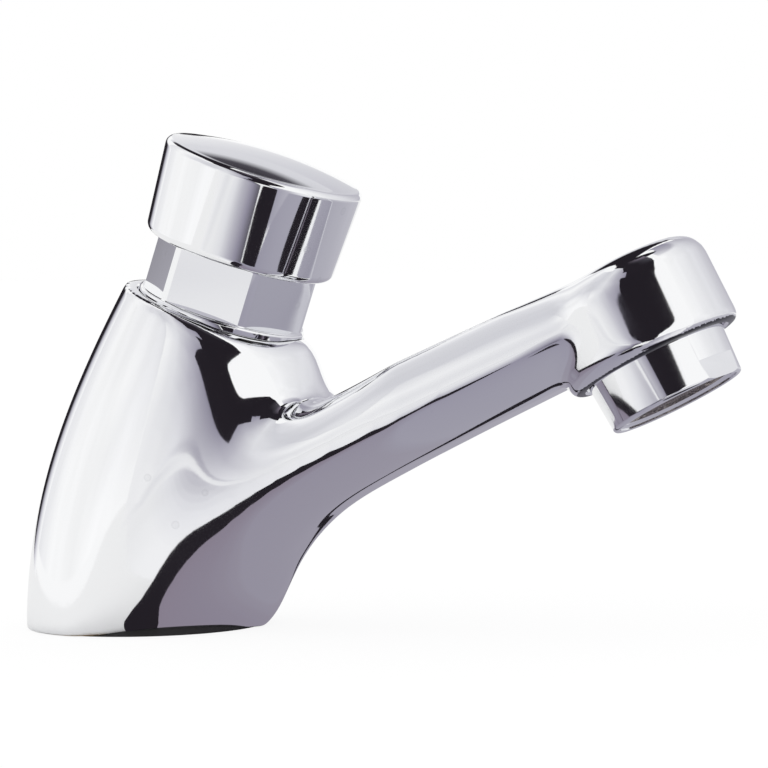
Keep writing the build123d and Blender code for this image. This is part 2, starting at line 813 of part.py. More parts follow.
# Aerator collar with its thread, inner lip and wrench flats
aerator_collar = turned(
    [
        (collar_mouth_radius, 0),
        (collar_foot_radius, 0),
        (collar_top_radius, collar_length),
        (collar_thread_radius, collar_length),
        (collar_thread_radius, collar_thread_top),
        (collar_bore_radius, collar_thread_top),
        (collar_bore_radius, lip_top),
        (collar_lip_radius, lip_top),
        (collar_lip_radius, collar_mouth_depth),
        (collar_mouth_radius, collar_mouth_depth),
    ]
)
outer_foot = hoops(aerator_collar)[:2].sort_by(SortBy.LENGTH)[-1:]
aerator_collar = fillet(outer_foot, collar_foot_round)
flat_place = collar_foot_radius - wrench_flat_depth + collar_length / 2
flat_block = Pos(flat_place, 0, 0) * Box(collar_length, collar_length * 3, wrench_flat_height * 2)
for cut in around(flat_block, 2, wrench_flat_turn):
    aerator_collar -= cut
save("aerator_collar", aerator_collar, outlet_frame)

# Inside of the aerator: screen, core, flow disc, strainer and gasket
screen = rod(insert_radius, lip_top, screen_top)
hole_reach = insert_radius - screen_rim - screen_hole_side / 2
cells = int(hole_reach / screen_hole_pitch)
hole = Box(screen_hole_side, screen_hole_side, screen_thickness * 4)
holes = []
for column in range(-cells, cells + 1):
    for line in range(-cells, cells + 1):
        across = column * screen_hole_pitch
        along = line * screen_hole_pitch
        if hypot(across, along) <= hole_reach:
            holes.append(Pos(across, along, lip_top) * hole)
save("aerator_screen", screen - holes, outlet_frame)
core = tube(insert_radius, insert_radius - core_wall, screen_top, core_top)
core += rod(core_hub_radius, screen_top, core_top)
core_reach = insert_radius - core_wall / 2
core_middle = screen_top + core_height / 2
core_rib = Pos(core_reach / 2, 0, core_middle) * Box(core_reach, core_rib_width, core_height)
for piece in around(core_rib, core_ribs):
    core += piece
save("aerator_core", core, outlet_frame)
flow_disc = rod(insert_radius, core_top, disc_top)
flow_slot = Pos(flow_slot_ring, 0, disc_top) * Box(flow_slot_width, flow_slot_length, flow_disc_thickness * 4)
flow_disc -= around(flow_slot, flow_slots)
save("aerator_flow_disc", flow_disc, outlet_frame)
strainer_top = disc_top + strainer_height
strainer = rod(strainer_radius, disc_top, strainer_top)
strainer -= rod(strainer_radius - strainer_wall, disc_top, strainer_top - strainer_wall)
top_hole = Pos(strainer_hole_ring, 0, 0) * rod(strainer_hole_radius, disc_top, strainer_top)
strainer -= around(top_hole, strainer_holes)
save("aerator_strainer", strainer, outlet_frame)
gasket = tube(collar_thread_radius, aerator_gasket_inner, collar_thread_top, seat_face)
save("aerator_gasket", gasket, outlet_frame)
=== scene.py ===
import json
from math import atan2, cos, degrees, hypot, pi, radians, sin, sqrt

import bmesh
import bpy
from mathutils import Matrix, Vector


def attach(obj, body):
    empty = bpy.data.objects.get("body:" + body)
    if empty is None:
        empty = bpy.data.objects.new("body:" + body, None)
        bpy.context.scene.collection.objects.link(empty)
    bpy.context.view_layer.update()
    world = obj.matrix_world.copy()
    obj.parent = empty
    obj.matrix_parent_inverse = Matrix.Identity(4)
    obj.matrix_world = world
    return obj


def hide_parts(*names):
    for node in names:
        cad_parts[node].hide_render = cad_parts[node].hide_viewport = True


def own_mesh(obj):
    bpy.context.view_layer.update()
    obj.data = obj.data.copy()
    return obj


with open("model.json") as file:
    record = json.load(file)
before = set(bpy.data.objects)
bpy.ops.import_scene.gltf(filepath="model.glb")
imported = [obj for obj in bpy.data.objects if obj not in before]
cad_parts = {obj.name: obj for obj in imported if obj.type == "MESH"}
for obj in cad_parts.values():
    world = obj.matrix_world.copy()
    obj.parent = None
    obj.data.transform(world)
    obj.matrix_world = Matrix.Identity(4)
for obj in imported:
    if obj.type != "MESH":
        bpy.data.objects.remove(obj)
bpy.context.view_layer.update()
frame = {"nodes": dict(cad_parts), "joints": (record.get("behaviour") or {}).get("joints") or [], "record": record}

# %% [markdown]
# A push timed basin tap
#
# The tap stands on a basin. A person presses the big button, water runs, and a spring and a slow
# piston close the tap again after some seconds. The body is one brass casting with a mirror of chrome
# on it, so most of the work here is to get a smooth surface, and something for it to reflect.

mm = 0.001
nodes = frame["nodes"]
record = frame["record"]
print("pieces that come with the frame:", len(nodes))

# %% [markdown]
# Where things are
#
# Two slanting axes rule the tap: the push axis, along which the button slides, and the outlet axis,
# round which the aerator is turned. The push axis is read from the joint in the frame, so the button
# and everything turned round it line up with the motion. The outlet axis has no joint, so it is given
# by its lean and by the place where it leaves the aerator.

# %% The two axes
push_joint = frame["joints"][0]
push_up = -Vector(push_joint["axis"]).normalized()
push_ahead = Vector((push_up.z, 0, -push_up.x))
push_lean = atan2(push_up.x, push_up.z)
mouth_forward, mouth_height = 19.5, 66.6
mouth_centre = Vector((mouth_forward, 0, mouth_height)) * mm
outlet_lean = radians(26.5)
outlet_up = Vector((-sin(outlet_lean), 0, cos(outlet_lean)))
outlet_ahead = Vector((cos(outlet_lean), 0, sin(outlet_lean)))
outlet_forward, outlet_lift = 120.2, 46.5
outlet_centre = Vector((outlet_forward, 0, outlet_lift)) * mm
across = Vector((0, 1, 0))


def standing_at(origin, ahead, up):
    """Matrix that lays a piece drawn round Z onto a slanting axis."""
    side = up.cross(ahead)
    matrix = Matrix((ahead, side, up)).transposed().to_4x4()
    matrix.translation = origin
    return matrix


push_place = standing_at(mouth_centre, push_ahead, push_up)
outlet_place = standing_at(outlet_centre, outlet_ahead, outlet_up)
print("push axis leans", round(degrees(push_lean), 1), "degrees")

# %% [markdown]
# The camera
#
# The photograph was taken from a little above the deck and a little towards the outlet's side, with a
# long lens. A long lens keeps the sides of the column nearly parallel, as they are in the photograph.
# The turn, the rise and the roll are angles that can be read off, so the camera is built from them.

# %% Camera
view_turn = radians(23.05)
view_rise = radians(2.83)
view_roll = radians(1.82)
view_distance = 850 * mm
sensor_width, focal_length = 36, 192.6
clip_near, clip_far = 0.01, 50
view_target = Vector((56.027, 0, 50.816)) * mm
view_back = Vector((sin(view_turn) * cos(view_rise), -cos(view_turn) * cos(view_rise), sin(view_rise)))
level_right = Vector((cos(view_turn), sin(view_turn), 0))
level_up = view_back.cross(level_right)
view_right = level_right * cos(view_roll) - level_up * sin(view_roll)
view_up = level_up * cos(view_roll) + level_right * sin(view_roll)

camera_data = bpy.data.cameras.new("camera")
camera_data.sensor_width = sensor_width
camera_data.lens = focal_length
camera = bpy.data.objects.new("camera", camera_data)
camera.matrix_world = Matrix((view_right, view_up, view_back)).transposed().to_4x4()
camera.location = view_target + view_back * view_distance
camera_data.clip_start = clip_near
camera_data.clip_end = clip_far
bpy.context.scene.collection.objects.link(camera)
bpy.context.scene.camera = camera
print("camera at", [round(value / mm) for value in camera.location], "mm")

# %% [markdown]
# Mesh helpers
#
# Nearly every piece of a tap is turned on a lathe, so one helper turns an outline into a mesh. Another
# joins rings of points into a skin, which serves for the column and the spout.


# %% Helpers that make meshes
def new_piece(name, points, faces):
    """An object from points in metres and faces."""
    mesh = bpy.data.meshes.new(name)
    mesh.from_pydata([tuple(point) for point in points], [], faces)
    mesh.update()
    piece = bpy.data.objects.new(name, mesh)
    bpy.context.scene.collection.objects.link(piece)
    return piece


def skin(name, rings):
    """A closed tube through rings of the same number of points, with both ends capped."""
    count = len(rings[0])
    points = [point for ring in rings for point in ring]
    faces = []
    for low in range(len(rings) - 1):
        for start in range(count):
            after = (start + 1) % count
            here, above = low * count, (low + 1) * count
            faces.append((here + start, here + after, above + after, above + start))
    faces.append(tuple(reversed(range(count))))
    faces.append(tuple(range((len(rings) - 1) * count, len(rings) * count)))
    return new_piece(name, points, faces)


def held_straight(outline, hold=0.12, least_holds=8):
    """Extra points close to the ends of long straight stretches, so that their shading stays straight."""
    held = []
    for (r0, h0), (r1, h1) in zip(outline, outline[1:] + outline[:1]):
        held.append((r0, h0))
        length = hypot(r1 - r0, h1 - h0)
        if length > least_holds * hold:
            for share in (hold / length, 1 - hold / length):
                held.append((r0 + (r1 - r0) * share, h0 + (h1 - h0) * share))
    return held


def turned(name, outline, place, steps=160):
    """A body of revolution from a closed outline of radius and height in mm, laid onto an axis."""
    points, faces, rings = [], [], []
    for radius, height in held_straight(outline):
        if radius == 0:
            rings.append([len(points)])
            points.append(place @ Vector((0, 0, height * mm)))
            continue
        first = len(points)
        for step in range(steps):
            turn = 2 * pi * step / steps
            points.append(place @ Vector((radius * cos(turn) * mm, radius * sin(turn) * mm, height * mm)))
        rings.append(list(range(first, first + steps)))
    for near, far in zip(rings, rings[1:] + rings[:1]):
        for step in range(steps):
            after = (step + 1) % steps
            picks = ((near, step), (near, after), (far, after), (far, step))
            unique = list(dict.fromkeys(ring[pick % len(ring)] for ring, pick in picks))
            if len(unique) > 2:
                faces.append(tuple(unique))
    piece = new_piece(name, points, faces)
    tidy_faces(piece)
    return piece


def tidy_faces(piece):
    """Faces of a closed piece all look outwards."""
    shape = bmesh.new()
    shape.from_mesh(piece.data)
    bmesh.ops.recalc_face_normals(shape, faces=shape.faces)
    shape.to_mesh(piece.data)
    shape.free()


def arc(centre, radius, start, end, steps=8):
    """Points of a round corner, as radius and height in mm, angles in degrees from the outward side."""
    turns = [radians(start + (end - start) * step / steps) for step in range(steps + 1)]
    return [(centre[0] + radius * cos(turn), centre[1] + radius * sin(turn)) for turn in turns]


def freeze(piece):
    """Bake the modifiers of a piece into its mesh."""
    graph = bpy.context.evaluated_depsgraph_get()
    mesh = bpy.data.meshes.new_from_object(piece.evaluated_get(graph), depsgraph=graph)
    old = piece.data
    piece.modifiers.clear()
    piece.data = mesh
    mesh.name = piece.name
    bpy.data.meshes.remove(old)


def carve(piece, tool, mode="DIFFERENCE"):
    """Cut a tool out of a piece, or join it on, and throw the tool away."""
    cut = piece.modifiers.new("cut", "BOOLEAN")
    cut.operation = mode
    cut.solver = "MANIFOLD"
    cut.object = tool
    freeze(piece)
    bpy.data.objects.remove(tool)


def smooth_shading(piece, sharpest=35):
    """Smooth shading, except over edges sharper than an angle in degrees."""
    mesh = piece.data
    mesh.polygons.foreach_set("use_smooth", [True] * len(mesh.polygons))
    mesh.set_sharp_from_angle(angle=radians(sharpest))


def face_weighted(piece):
    """Let the large faces of a piece decide its shading, so that flats look flat."""
    weigh = piece.modifiers.new("weigh", "WEIGHTED_NORMAL")
    weigh.keep_sharp = True
    weigh.weight = 100
    freeze(piece)


def block(name, centre, outward, along, upward, reach, width, height):
    """A block for cutting a flat, sizes in metres."""
    mesh = bpy.data.meshes.new(name)
    shape = bmesh.new()
    bmesh.ops.create_cube(shape, size=1)
    shape.to_mesh(mesh)
    shape.free()
    turn = Matrix((outward, along, upward)).transposed().to_4x4()
    mesh.transform(Matrix.Translation(centre) @ turn @ Matrix.Diagonal((reach, width, height, 1)))
    piece = bpy.data.objects.new(name, mesh)
    bpy.context.scene.collection.objects.link(piece)
    return piece


print("helpers ready")

# %% [markdown]
# The casting: column, spout and head
#
# The real body is one casting. Its column starts as an oval on the deck and leans into a round mouth,
# the spout rises from it with a flat top and a narrow keel, and the head is a short leaning cylinder.
# Each is easy to draw by itself as rings. What makes the real one look cast is that they flow into
# each other. So the three are joined, wrapped in one fine even skin, and that skin is relaxed, which
# rounds every join and edge by a millimetre or two, as a foundry and a polishing wheel do.
#
# The column comes first. Its back and its front are two four-point curves in the middle plane, and
# each ring is an oval that spans from one to the other.


# %% Column of the casting
def curve_point(points, share):
    """Point on a four-point curve."""
    rest = 1 - share
    weights = (rest ** 3, 3 * rest * rest * share, 3 * rest * share * share, share ** 3)
    return sum((Vector(point) * weight for weight, point in zip(weights, points)), Vector((0, 0)))


mouth_radius = 20.9
base_back, base_front, base_half_width = 26.4, 27.2, 24.5
waist_spread = 0.9
back_swell_share, back_top_share, back_top_lean = 0.43, 0.38, 32.0
front_swell_share, front_lean = 0.42, 29.4
collar_front_share, collar_front_lean = 0.26, -21.0


def lean_step(length, lean):
    """A step along a line that leans from upright, in the middle plane."""
    return Vector((sin(radians(lean)), cos(radians(lean)))) * length


mouth_flat = Vector((mouth_forward, mouth_height))
mouth_step = Vector((push_ahead.x, push_ahead.z)) * mouth_radius
back_curve = [
    Vector((-base_back, 0)),
    Vector((-base_back, back_swell_share * mouth_height)),
    mouth_flat - mouth_step - lean_step(back_top_share * mouth_height, back_top_lean),
    mouth_flat - mouth_step,
]
front_curve = [
    Vector((base_front, 0)),
    Vector((base_front, 0)) + lean_step(front_swell_share * mouth_height, front_lean),
    mouth_flat + mouth_step - lean_step(collar_front_share * mouth_height, collar_front_lean),
    mouth_flat + mouth_step,
]


def column_ring(share, sides=220):
    """One leaning oval of the column."""
    rear, fore = curve_point(back_curve, share), curve_point(front_curve, share)
    middle = (rear + fore) / 2
    reach = (fore - rear) / 2
    half = base_half_width * (1 - share) + mouth_radius * share + waist_spread * 4 * share * (1 - share)
    ring = []
    for side in range(sides):
        turn = 2 * pi * side / sides
        along = middle + reach * cos(turn)
        ring.append(Vector((along.x, half * sin(turn), along.y)) * mm)
    return ring


column_rings = 150
column = skin("column", [column_ring(step / (column_rings - 1)) for step in range(column_rings)])
tidy_faces(column)
print("column skin:", len(column.data.vertices), "points")

# %% [markdown]
# The spout tapers from the column, which carries it, to the head, where it is only as thick as its water
# needs. A few stations along it say how deep and how wide it is, and a smooth curve through them gives
# every section between. Straight runs between the stations would mirror as a row of kinks.

# %% Spout of the casting
spout_rise = radians(22.6)
spout_tip = Vector((112.7, 0, 75.8))
spout_ahead = Vector((cos(spout_rise), 0, sin(spout_rise)))
spout_up = Vector((-sin(spout_rise), 0, cos(spout_rise)))
bulge_share, bulge_drop_share, flank_top_share = 0.75, 0.25, 0.6
waist_share, flank_drop_share, keel_turn_share, keel_lift_share = 0.52, 0.55, 0.5, 0.12
# Distance back from the tip, depth, half width on top, at the fullest height, and under
spout_stations = [
    (1.5, 17.4, 12.4, 16.4, 4.0),
    (14.0, 17.7, 14.5, 17.6, 4.5),
    (28.0, 18.0, 15.2, 17.8, 4.9),
    (50.0, 18.7, 15.7, 18.2, 5.4),
    (70.0, 19.7, 16.3, 18.9, 5.9),
    (83.0, 21.3, 16.9, 19.7, 6.2),
    (92.0, 24.2, 17.4, 20.4, 6.4),
    (100.0, 28.3, 17.8, 21.0, 6.6),
    (112.0, 32.5, 18.0, 21.4, 6.8),
]


def between_stations(back):
    """Sizes of the spout at a distance back from the tip, on a smooth curve through the stations."""
    places = [station[0] for station in spout_stations]
    last = len(places) - 2
    low = min(max(sum(place <= back for place in places) - 1, 0), last)
    x0, x1 = places[low], places[low + 1]
    share = (back - x0) / (x1 - x0)
    sizes = []
    for kind in range(1, 5):
        y0, y1 = spout_stations[low][kind], spout_stations[low + 1][kind]
        before = spout_stations[max(low - 1, 0)]
        after = spout_stations[min(low + 2, last + 1)]
        slope0 = (y1 - before[kind]) / (x1 - before[0])
        slope1 = (after[kind] - y0) / (after[0] - x0)
        step = x1 - x0
        s2, s3 = share ** 2, share ** 3
        sizes.append(
            (2 * s3 - 3 * s2 + 1) * y0
            + (s3 - 2 * s2 + share) * step * slope0
            + (3 * s2 - 2 * s3) * y1
            + (s3 - s2) * step * slope1
        )
    return sizes


def spout_ring(back, steps=24):
    """Section of the spout: flat top, full flanks and a narrow keel."""
    depth, top, middle, under = between_stations(back)
    waist = waist_share * depth
    below = depth - waist
    upper = [
        (top, 0),
        (top + bulge_share * (middle - top), -waist * bulge_drop_share),
        (middle, -waist * flank_top_share),
        (middle, -waist),
    ]
    lower = [
        (middle, -waist),
        (middle, -waist - flank_drop_share * below),
        (under + keel_turn_share * (middle - under), -depth + keel_lift_share * below),
        (under, -depth),
    ]
    half = [Vector((top * step / steps, 0)) for step in range(steps)]
    half += [curve_point(upper, step / steps) for step in range(steps)]
    half += [curve_point(lower, step / steps) for step in range(steps)]
    half += [Vector((under * (1 - step / steps), -depth)) for step in range(steps)]
    half.append(Vector((0, -depth)))
    mirrored = [Vector((-point.x, point.y)) for point in reversed(half[1:-1])]
    origin = spout_tip - spout_ahead * back
    return [(origin + across * point.x + spout_up * point.y) * mm for point in half + mirrored]


spout_start, spout_steps = spout_stations[0][0], 120
spout_reach = spout_stations[-1][0] - spout_start
spout_backs = [spout_start + spout_reach * step / spout_steps for step in range(spout_steps + 1)]
spout = skin("spout", [spout_ring(back) for back in spout_backs])
tidy_faces(spout)
print("spout skin:", len(spout.data.vertices), "points")

# %% [markdown]
# The head holds the aerator, so it is round and is turned on the outlet's own axis. Its upper edge is
# well rounded and its lower one only eased, because the collar's ledge is machined there.

# %% Head of the casting
head_radius, head_foot, head_top = 18.7, 9.8, 30.1
head_foot_round, head_top_round = 1.6, 5.0
head_outline = [(0, head_foot), (head_radius - head_foot_round, head_foot)]
head_outline += arc((head_radius - head_foot_round, head_foot + head_foot_round), head_foot_round, -90, 0)
head_outline += arc((head_radius - head_top_round, head_top - head_top_round), head_top_round, 0, 90)
head_outline += [(0, head_top)]
head = turned("head", head_outline, outlet_place)
print("head skin:", len(head.data.vertices), "points")

# %% [markdown]
# Now the three become one. A remesh lays an even net of small squares over them, and smoothing relaxes
# it. Bevels could round the joins too, but they fail where three curved skins meet. Three places are
# rounder on the real casting and get more rounds of smoothing: the valley between column and spout,
# the flank where the spout's keel runs into the foot, and the neck behind the head.

# %% One relaxed skin over the three
skin_step = 0.42
relax_rounds = {"": 44, "valley": 90, "neck": 220, "flank": 1800}
# Start and end of a line in the middle plane, half width that gets the full effect, and reach, in mm
soft_places = {
    "valley": ((33, 52), (50, 49), 0, 14),
    "flank": ((19, 13), (37, 48), 12, 30),
    "neck": ((109, 53), (99, 74), 6, 15),
}
casting = column
casting.name = "tap_casting"
for part in (spout, head):
    carve(casting, part, "UNION")
wrap = casting.modifiers.new("wrap", "REMESH")
wrap.mode = "VOXEL"
wrap.voxel_size = skin_step * mm
freeze(casting)


def near_line(point, start, end, inner, reach):
    """1 close to a line in the middle plane, falling to 0 away from it."""
    flat = Vector((point.x, point.z))
    along = end - start
    share = min(max((flat - start).dot(along) / along.length_squared, 0), 1)
    away = hypot((flat - start - along * share).length, 2 * max(inner - abs(point.y), 0))
    return max(0, 1 - (away / reach) ** 2) ** 2


for name, (start, end, inner, reach) in soft_places.items():
    group = casting.vertex_groups.new(name=name)
    start, end = Vector(start) * mm, Vector(end) * mm
    for vertex in casting.data.vertices:
        nearness = near_line(vertex.co, start, end, inner * mm, reach * mm)
        if nearness > 0:
            group.add([vertex.index], nearness, "REPLACE")
for name, rounds in relax_rounds.items():
    relax = casting.modifiers.new("relax", "SMOOTH")
    relax.factor = 0.5
    relax.iterations = rounds
    relax.vertex_group = name
freeze(casting)
print("casting skin:", len(casting.data.vertices), "points")

# %% [markdown]
# A foundry casts the body hollow, and then a lathe and drills open it: the stepped bore that takes the
# cartridge, the outlet with its thread and chamber, the inlet, and a blind hole for the fixing stud.
# So each is cut here with a turned tool, whose outline is a short stair of bores.


# %% Hollows of the casting
def stairs(bores, top):
    """Outline of a stepped bore in mm: rows of radius and the height where it starts, and its top."""
    outline = [(0, bores[0][1])]
    for (radius, low), (_, high) in zip(bores, bores[1:] + [(0, top)]):
        outline += [(radius, low), (radius, high)]
    return outline + [(0, top)]


shallow_overrun, overrun, deep_overrun = 3, 4, 6
# Valve passage, seat, cylinder, bonnet thread and seating ring, below the mouth
cartridge_bores = [(6, -53.5), (10, -50.95), (14.1, -34.6), (15, -10.6), (18.3, -1.8)]
mouth_edge = [(18.9, 0.4), (18.9, 12), (0, 12)]
carve(casting, turned("mouth_cut", stairs(cartridge_bores, -0.3)[:-1] + mouth_edge, push_place))
# Ledge over the collar, thread and chamber, above the outlet
outlet_bores = [(15.6, 10.3), (14.1, 11.3), (10, 20.7)]
outlet_edge = [(0, -overrun), (16.2, -overrun), (16.2, 9.7)]
carve(casting, turned("outlet_cut", outlet_edge + stairs(outlet_bores, 24.3)[1:], outlet_place))
inlet_radius, inlet_wall = 9.32, 3.4
inlet_bores = [(inlet_radius, -overrun), (7.2, 11.5), (6, 13.3)]
carve(casting, turned("inlet_cut", stairs(inlet_bores, 22), Matrix.Identity(4)))
stud_radius, stud_depth, stud_centre, stud_boss_radius = 3.4, 12, -18.3, 5.6
stud_place = Matrix.Translation((stud_centre * mm, 0, 0))
carve(casting, turned("stud_cut", stairs([(stud_radius, -overrun)], stud_depth), stud_place, 48))
print("casting with its bores:", len(casting.data.vertices), "points")

# %% [markdown]
# Below, the foot is a shell with a rim for the gasket and two bosses, one round the inlet and one round
# the stud's hole. The same oval as the foot's, drawn smaller, cuts it out.


# %% Underside of the casting
def foot_oval(name, inset, low, high, steps=120):
    """An upright oval block inside the foot of the casting, sizes in mm."""
    half_length = (base_front + base_back) / 2 - inset
    middle = (base_front - base_back) / 2
    half_width = base_half_width - inset
    turns = [2 * pi * step / steps for step in range(steps)]
    oval = [(middle + half_length * cos(turn), half_width * sin(turn)) for turn in turns]
    piece = skin(name, [[Vector((*spot, height)) * mm for spot in oval] for height in (low, high)])
    tidy_faces(piece)
    return piece


foot_wall, foot_ceiling = 3.6, 9
gasket_rim, gasket_depth = 2.2, 2
boss_top = 12
underside = foot_oval("underside", foot_wall, -overrun, foot_ceiling)
carve(underside, foot_oval("gasket_step", gasket_rim, -shallow_overrun, gasket_depth), "UNION")
for reach, centre in ((inlet_radius + inlet_wall, 0), (stud_boss_radius, stud_centre)):
    boss_place = Matrix.Translation((centre * mm, 0, 0))
    carve(underside, turned("boss", stairs([(reach, -deep_overrun)], boss_top), boss_place))
carve(casting, underside)
print("casting with its underside:", len(casting.data.vertices), "points")

# %% [markdown]
# The casting stands for the frame's own casting node, rides on the tap's body and takes the chrome.

# %% Casting in place
smooth_shading(casting, 40)
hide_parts("body_casting")
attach(casting, "tap")

# %% [markdown]
# The push button
#
# A thick brass cap. Its side widens a little upwards, its foot is well rounded, and a shallow dome
# closes it. The edge between side and dome is tight, which is why it draws a sharp dark crescent.
# The real cap is turned and polished, so this one is turned too: one outline, swept round the axis.

# %% Button
button_foot, button_side_top, button_crown = 12.5, 32.3, 34.8
button_foot_radius, button_top_radius = 20.15, 21.3
foot_round, top_round = 1.9, 1.5
cap_bore, cap_ceiling = 17.75, 30.7
foot_shift, edge_drop, edge_sink_share = 0.1, 0.25, 0.6
dome_start_share, dome_steps = 0.9, 24
side_lean = degrees(atan2(button_top_radius - button_foot_radius, button_side_top - button_foot))
dome_height = button_crown - button_side_top
dome_radius = button_top_radius ** 2 / (2 * dome_height) + dome_height / 2
dome_centre = button_crown - dome_radius
dome_outline = []
for step in range(dome_steps + 1):
    radius = (button_top_radius - top_round * dome_start_share) * (1 - step / dome_steps)
    dome_outline.append((radius, dome_centre + sqrt(dome_radius ** 2 - radius ** 2)))
foot_centre = (button_foot_radius - foot_round + foot_shift, button_foot + foot_round)
edge_centre = (button_top_radius - top_round, button_side_top - edge_drop - top_round * edge_sink_share)
cap_outline = [(cap_bore, button_foot), (button_foot_radius - foot_round, button_foot)]
cap_outline += arc(foot_centre, foot_round, -90, -side_lean, 12)
cap_outline += arc(edge_centre, top_round, -side_lean, 72, 12)
cap_outline += dome_outline + [(0, cap_ceiling), (cap_bore, cap_ceiling)]
button = turned("push_button", cap_outline, push_place, 240)
smooth_shading(button, 40)
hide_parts("button_cap")
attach(button, "button")
print("button:", len(button.data.vertices), "points")

# %% [markdown]
# The bonnet nut
#
# A brass nut holds the cartridge down. Below the button shows its tall hexagon, with the corners
# turned off on the lathe, and its thin round flange, which lies in the mouth of the casting.
# A lathe makes the round blank and a mill cuts six flats into it, so the same is done here. Drawn as
# a six sided prism from the start, it wouldn't get the corners that the lathe has turned round.

# %% Bonnet nut
flange_under, flange_top, hex_top = -1.0, 0.8, 14.4
flange_radius, hex_flats, corner_radius = 17.96, 31.1, 17.5
hex_turn = radians(9.3)
well_radius, well_floor = 10.4, -1.6
bush_bore, plug_end, plug_radius = 5.5, -10.6, 14.8
low_round, high_round, hex_round, flat_ease = 0.4, 0.6, 0.5, 0.18
corner_flare = [(corner_radius + 0.3, flange_top - 0.05), (corner_radius, flange_top + 0.2)]
nut_outline = [(well_radius, well_floor), (bush_bore, well_floor), (bush_bore, plug_end)]
nut_outline += [(plug_radius, plug_end), (plug_radius, flange_under)]
nut_outline += [(flange_radius - low_round, flange_under)]
nut_outline += arc((flange_radius - low_round, flange_under + low_round), low_round, -90, 0, 4)
nut_outline += arc((flange_radius - high_round, flange_top - high_round), high_round, 0, 90, 6)
nut_outline += corner_flare
nut_outline += arc((corner_radius - hex_round, hex_top - hex_round), hex_round, 0, 90, 4)
nut_outline += [(well_radius, hex_top)]
bonnet = turned("bonnet_nut_piece", nut_outline, push_place, 180)
cut_reach, cut_width, cut_height, cut_lift = 8.0, 40, 20, 0.15
for side in range(6):
    turn = hex_turn + pi / 6 + side * pi / 3
    outward = push_ahead * cos(turn) + across * sin(turn)
    lift = push_up * (flange_top + cut_lift + cut_height / 2)
    centre = mouth_centre + (outward * (hex_flats / 2 + cut_reach / 2) + lift) * mm
    cut_sizes = (cut_reach * mm, cut_width * mm, cut_height * mm)
    carve(bonnet, block("flat", centre, outward, push_up.cross(outward), push_up, *cut_sizes))
ease = bonnet.modifiers.new("ease", "BEVEL")
ease.width = flat_ease * mm
ease.segments = 3
ease.limit_method = "ANGLE"
ease.angle_limit = radians(25)
freeze(bonnet)
smooth_shading(bonnet, 40)
face_weighted(bonnet)
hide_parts("bonnet_nut")
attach(bonnet, "tap")
print("bonnet nut:", len(bonnet.data.vertices), "points")

# %% [markdown]
# The aerator
#
# The aerator mixes air into the water. Its collar is a short turned tube with two flats for a wrench
# near its foot. Inside it sits a plastic cage, and what shows from below is a fine woven screen.
# The collar is turned and its flats are cut, as on the nut, and large faces decide the shading, so
# that the flats mirror as flats right up to their edges.

# %% Aerator collar
collar_foot, collar_top, collar_length = 14.25, 15.06, 11.3
collar_lean = degrees(atan2(collar_top - collar_foot, collar_length))
foot_ease, foot_flare = 0.8, 0.05
thread_radius, thread_top, collar_bore, ledge_top = 13.9, 18.7, 12.4, 2.0
collar_outline = arc((collar_foot - foot_ease + foot_flare, foot_ease), foot_ease, -90, -collar_lean, 8)
collar_outline += [(collar_top - 0.15, collar_length - 0.3), (collar_top - 0.4, collar_length)]
collar_outline += [(thread_radius, collar_length), (thread_radius, thread_top)]
collar_outline += [(collar_bore, thread_top), (collar_bore, ledge_top)]
# Lip that carries the screen, and the mouth below it
collar_outline += [(11.5, ledge_top), (11.3, 1.8), (11.3, 1.1), (11.5, 0.9)]
collar_outline += [(12.7, 0.9), (13.0, 0.6), (13.0, 0.2), (13.2, 0)]
collar = turned("aerator_collar_piece", collar_outline, outlet_place, 200)
flat_turn, flat_depth, flat_cut_height = radians(-19.5), 0.8, 8.8
for turn in (flat_turn, flat_turn + pi):
    outward = outlet_ahead * cos(turn) + across * sin(turn)
    centre = outlet_centre + outward * (collar_foot - flat_depth + cut_reach / 2) * mm
    cut_sizes = (cut_reach * mm, cut_width * mm, flat_cut_height * mm)
    carve(collar, block("flat", centre, outward, outlet_up.cross(outward), outlet_up, *cut_sizes))
smooth_shading(collar, 30)
face_weighted(collar)
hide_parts("aerator_collar")
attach(collar, "tap")
print("aerator collar:", len(collar.data.vertices), "points")

# %% [markdown]
# The screen is woven from thin steel wire: each wire passes over one neighbour and under the next.
# The frame's own screen is a plate with square holes, so a woven one takes its place. A picture of a
# weave would look flat at the slant from which the outlet is seen, so every wire is a real one. The
# screen bulges a little, as it does when the collar presses it against the cage.


# %% Woven screen
def wire_tube(points, faces, path, radius, sides):
    """Add a closed wire along a path to lists of points and faces; path and radius in metres."""
    first = len(points)
    for step, middle in enumerate(path):
        along = (path[min(step + 1, len(path) - 1)] - path[max(step - 1, 0)]).normalized()
        aside = along.cross(push_up if abs(along.dot(push_up)) < 0.9 else across).normalized()
        upward = aside.cross(along)
        for side in range(sides):
            turn = 2 * pi * side / sides
            points.append(middle + (aside * cos(turn) + upward * sin(turn)) * radius)
    for step in range(len(path) - 1):
        for side in range(sides):
            after = (side + 1) % sides
            low, high = first + step * sides, first + (step + 1) * sides
            faces.append((low + side, low + after, high + after, high + side))
    faces.append(tuple(first + side for side in reversed(range(sides))))
    faces.append(tuple(first + (len(path) - 1) * sides + side for side in range(sides)))


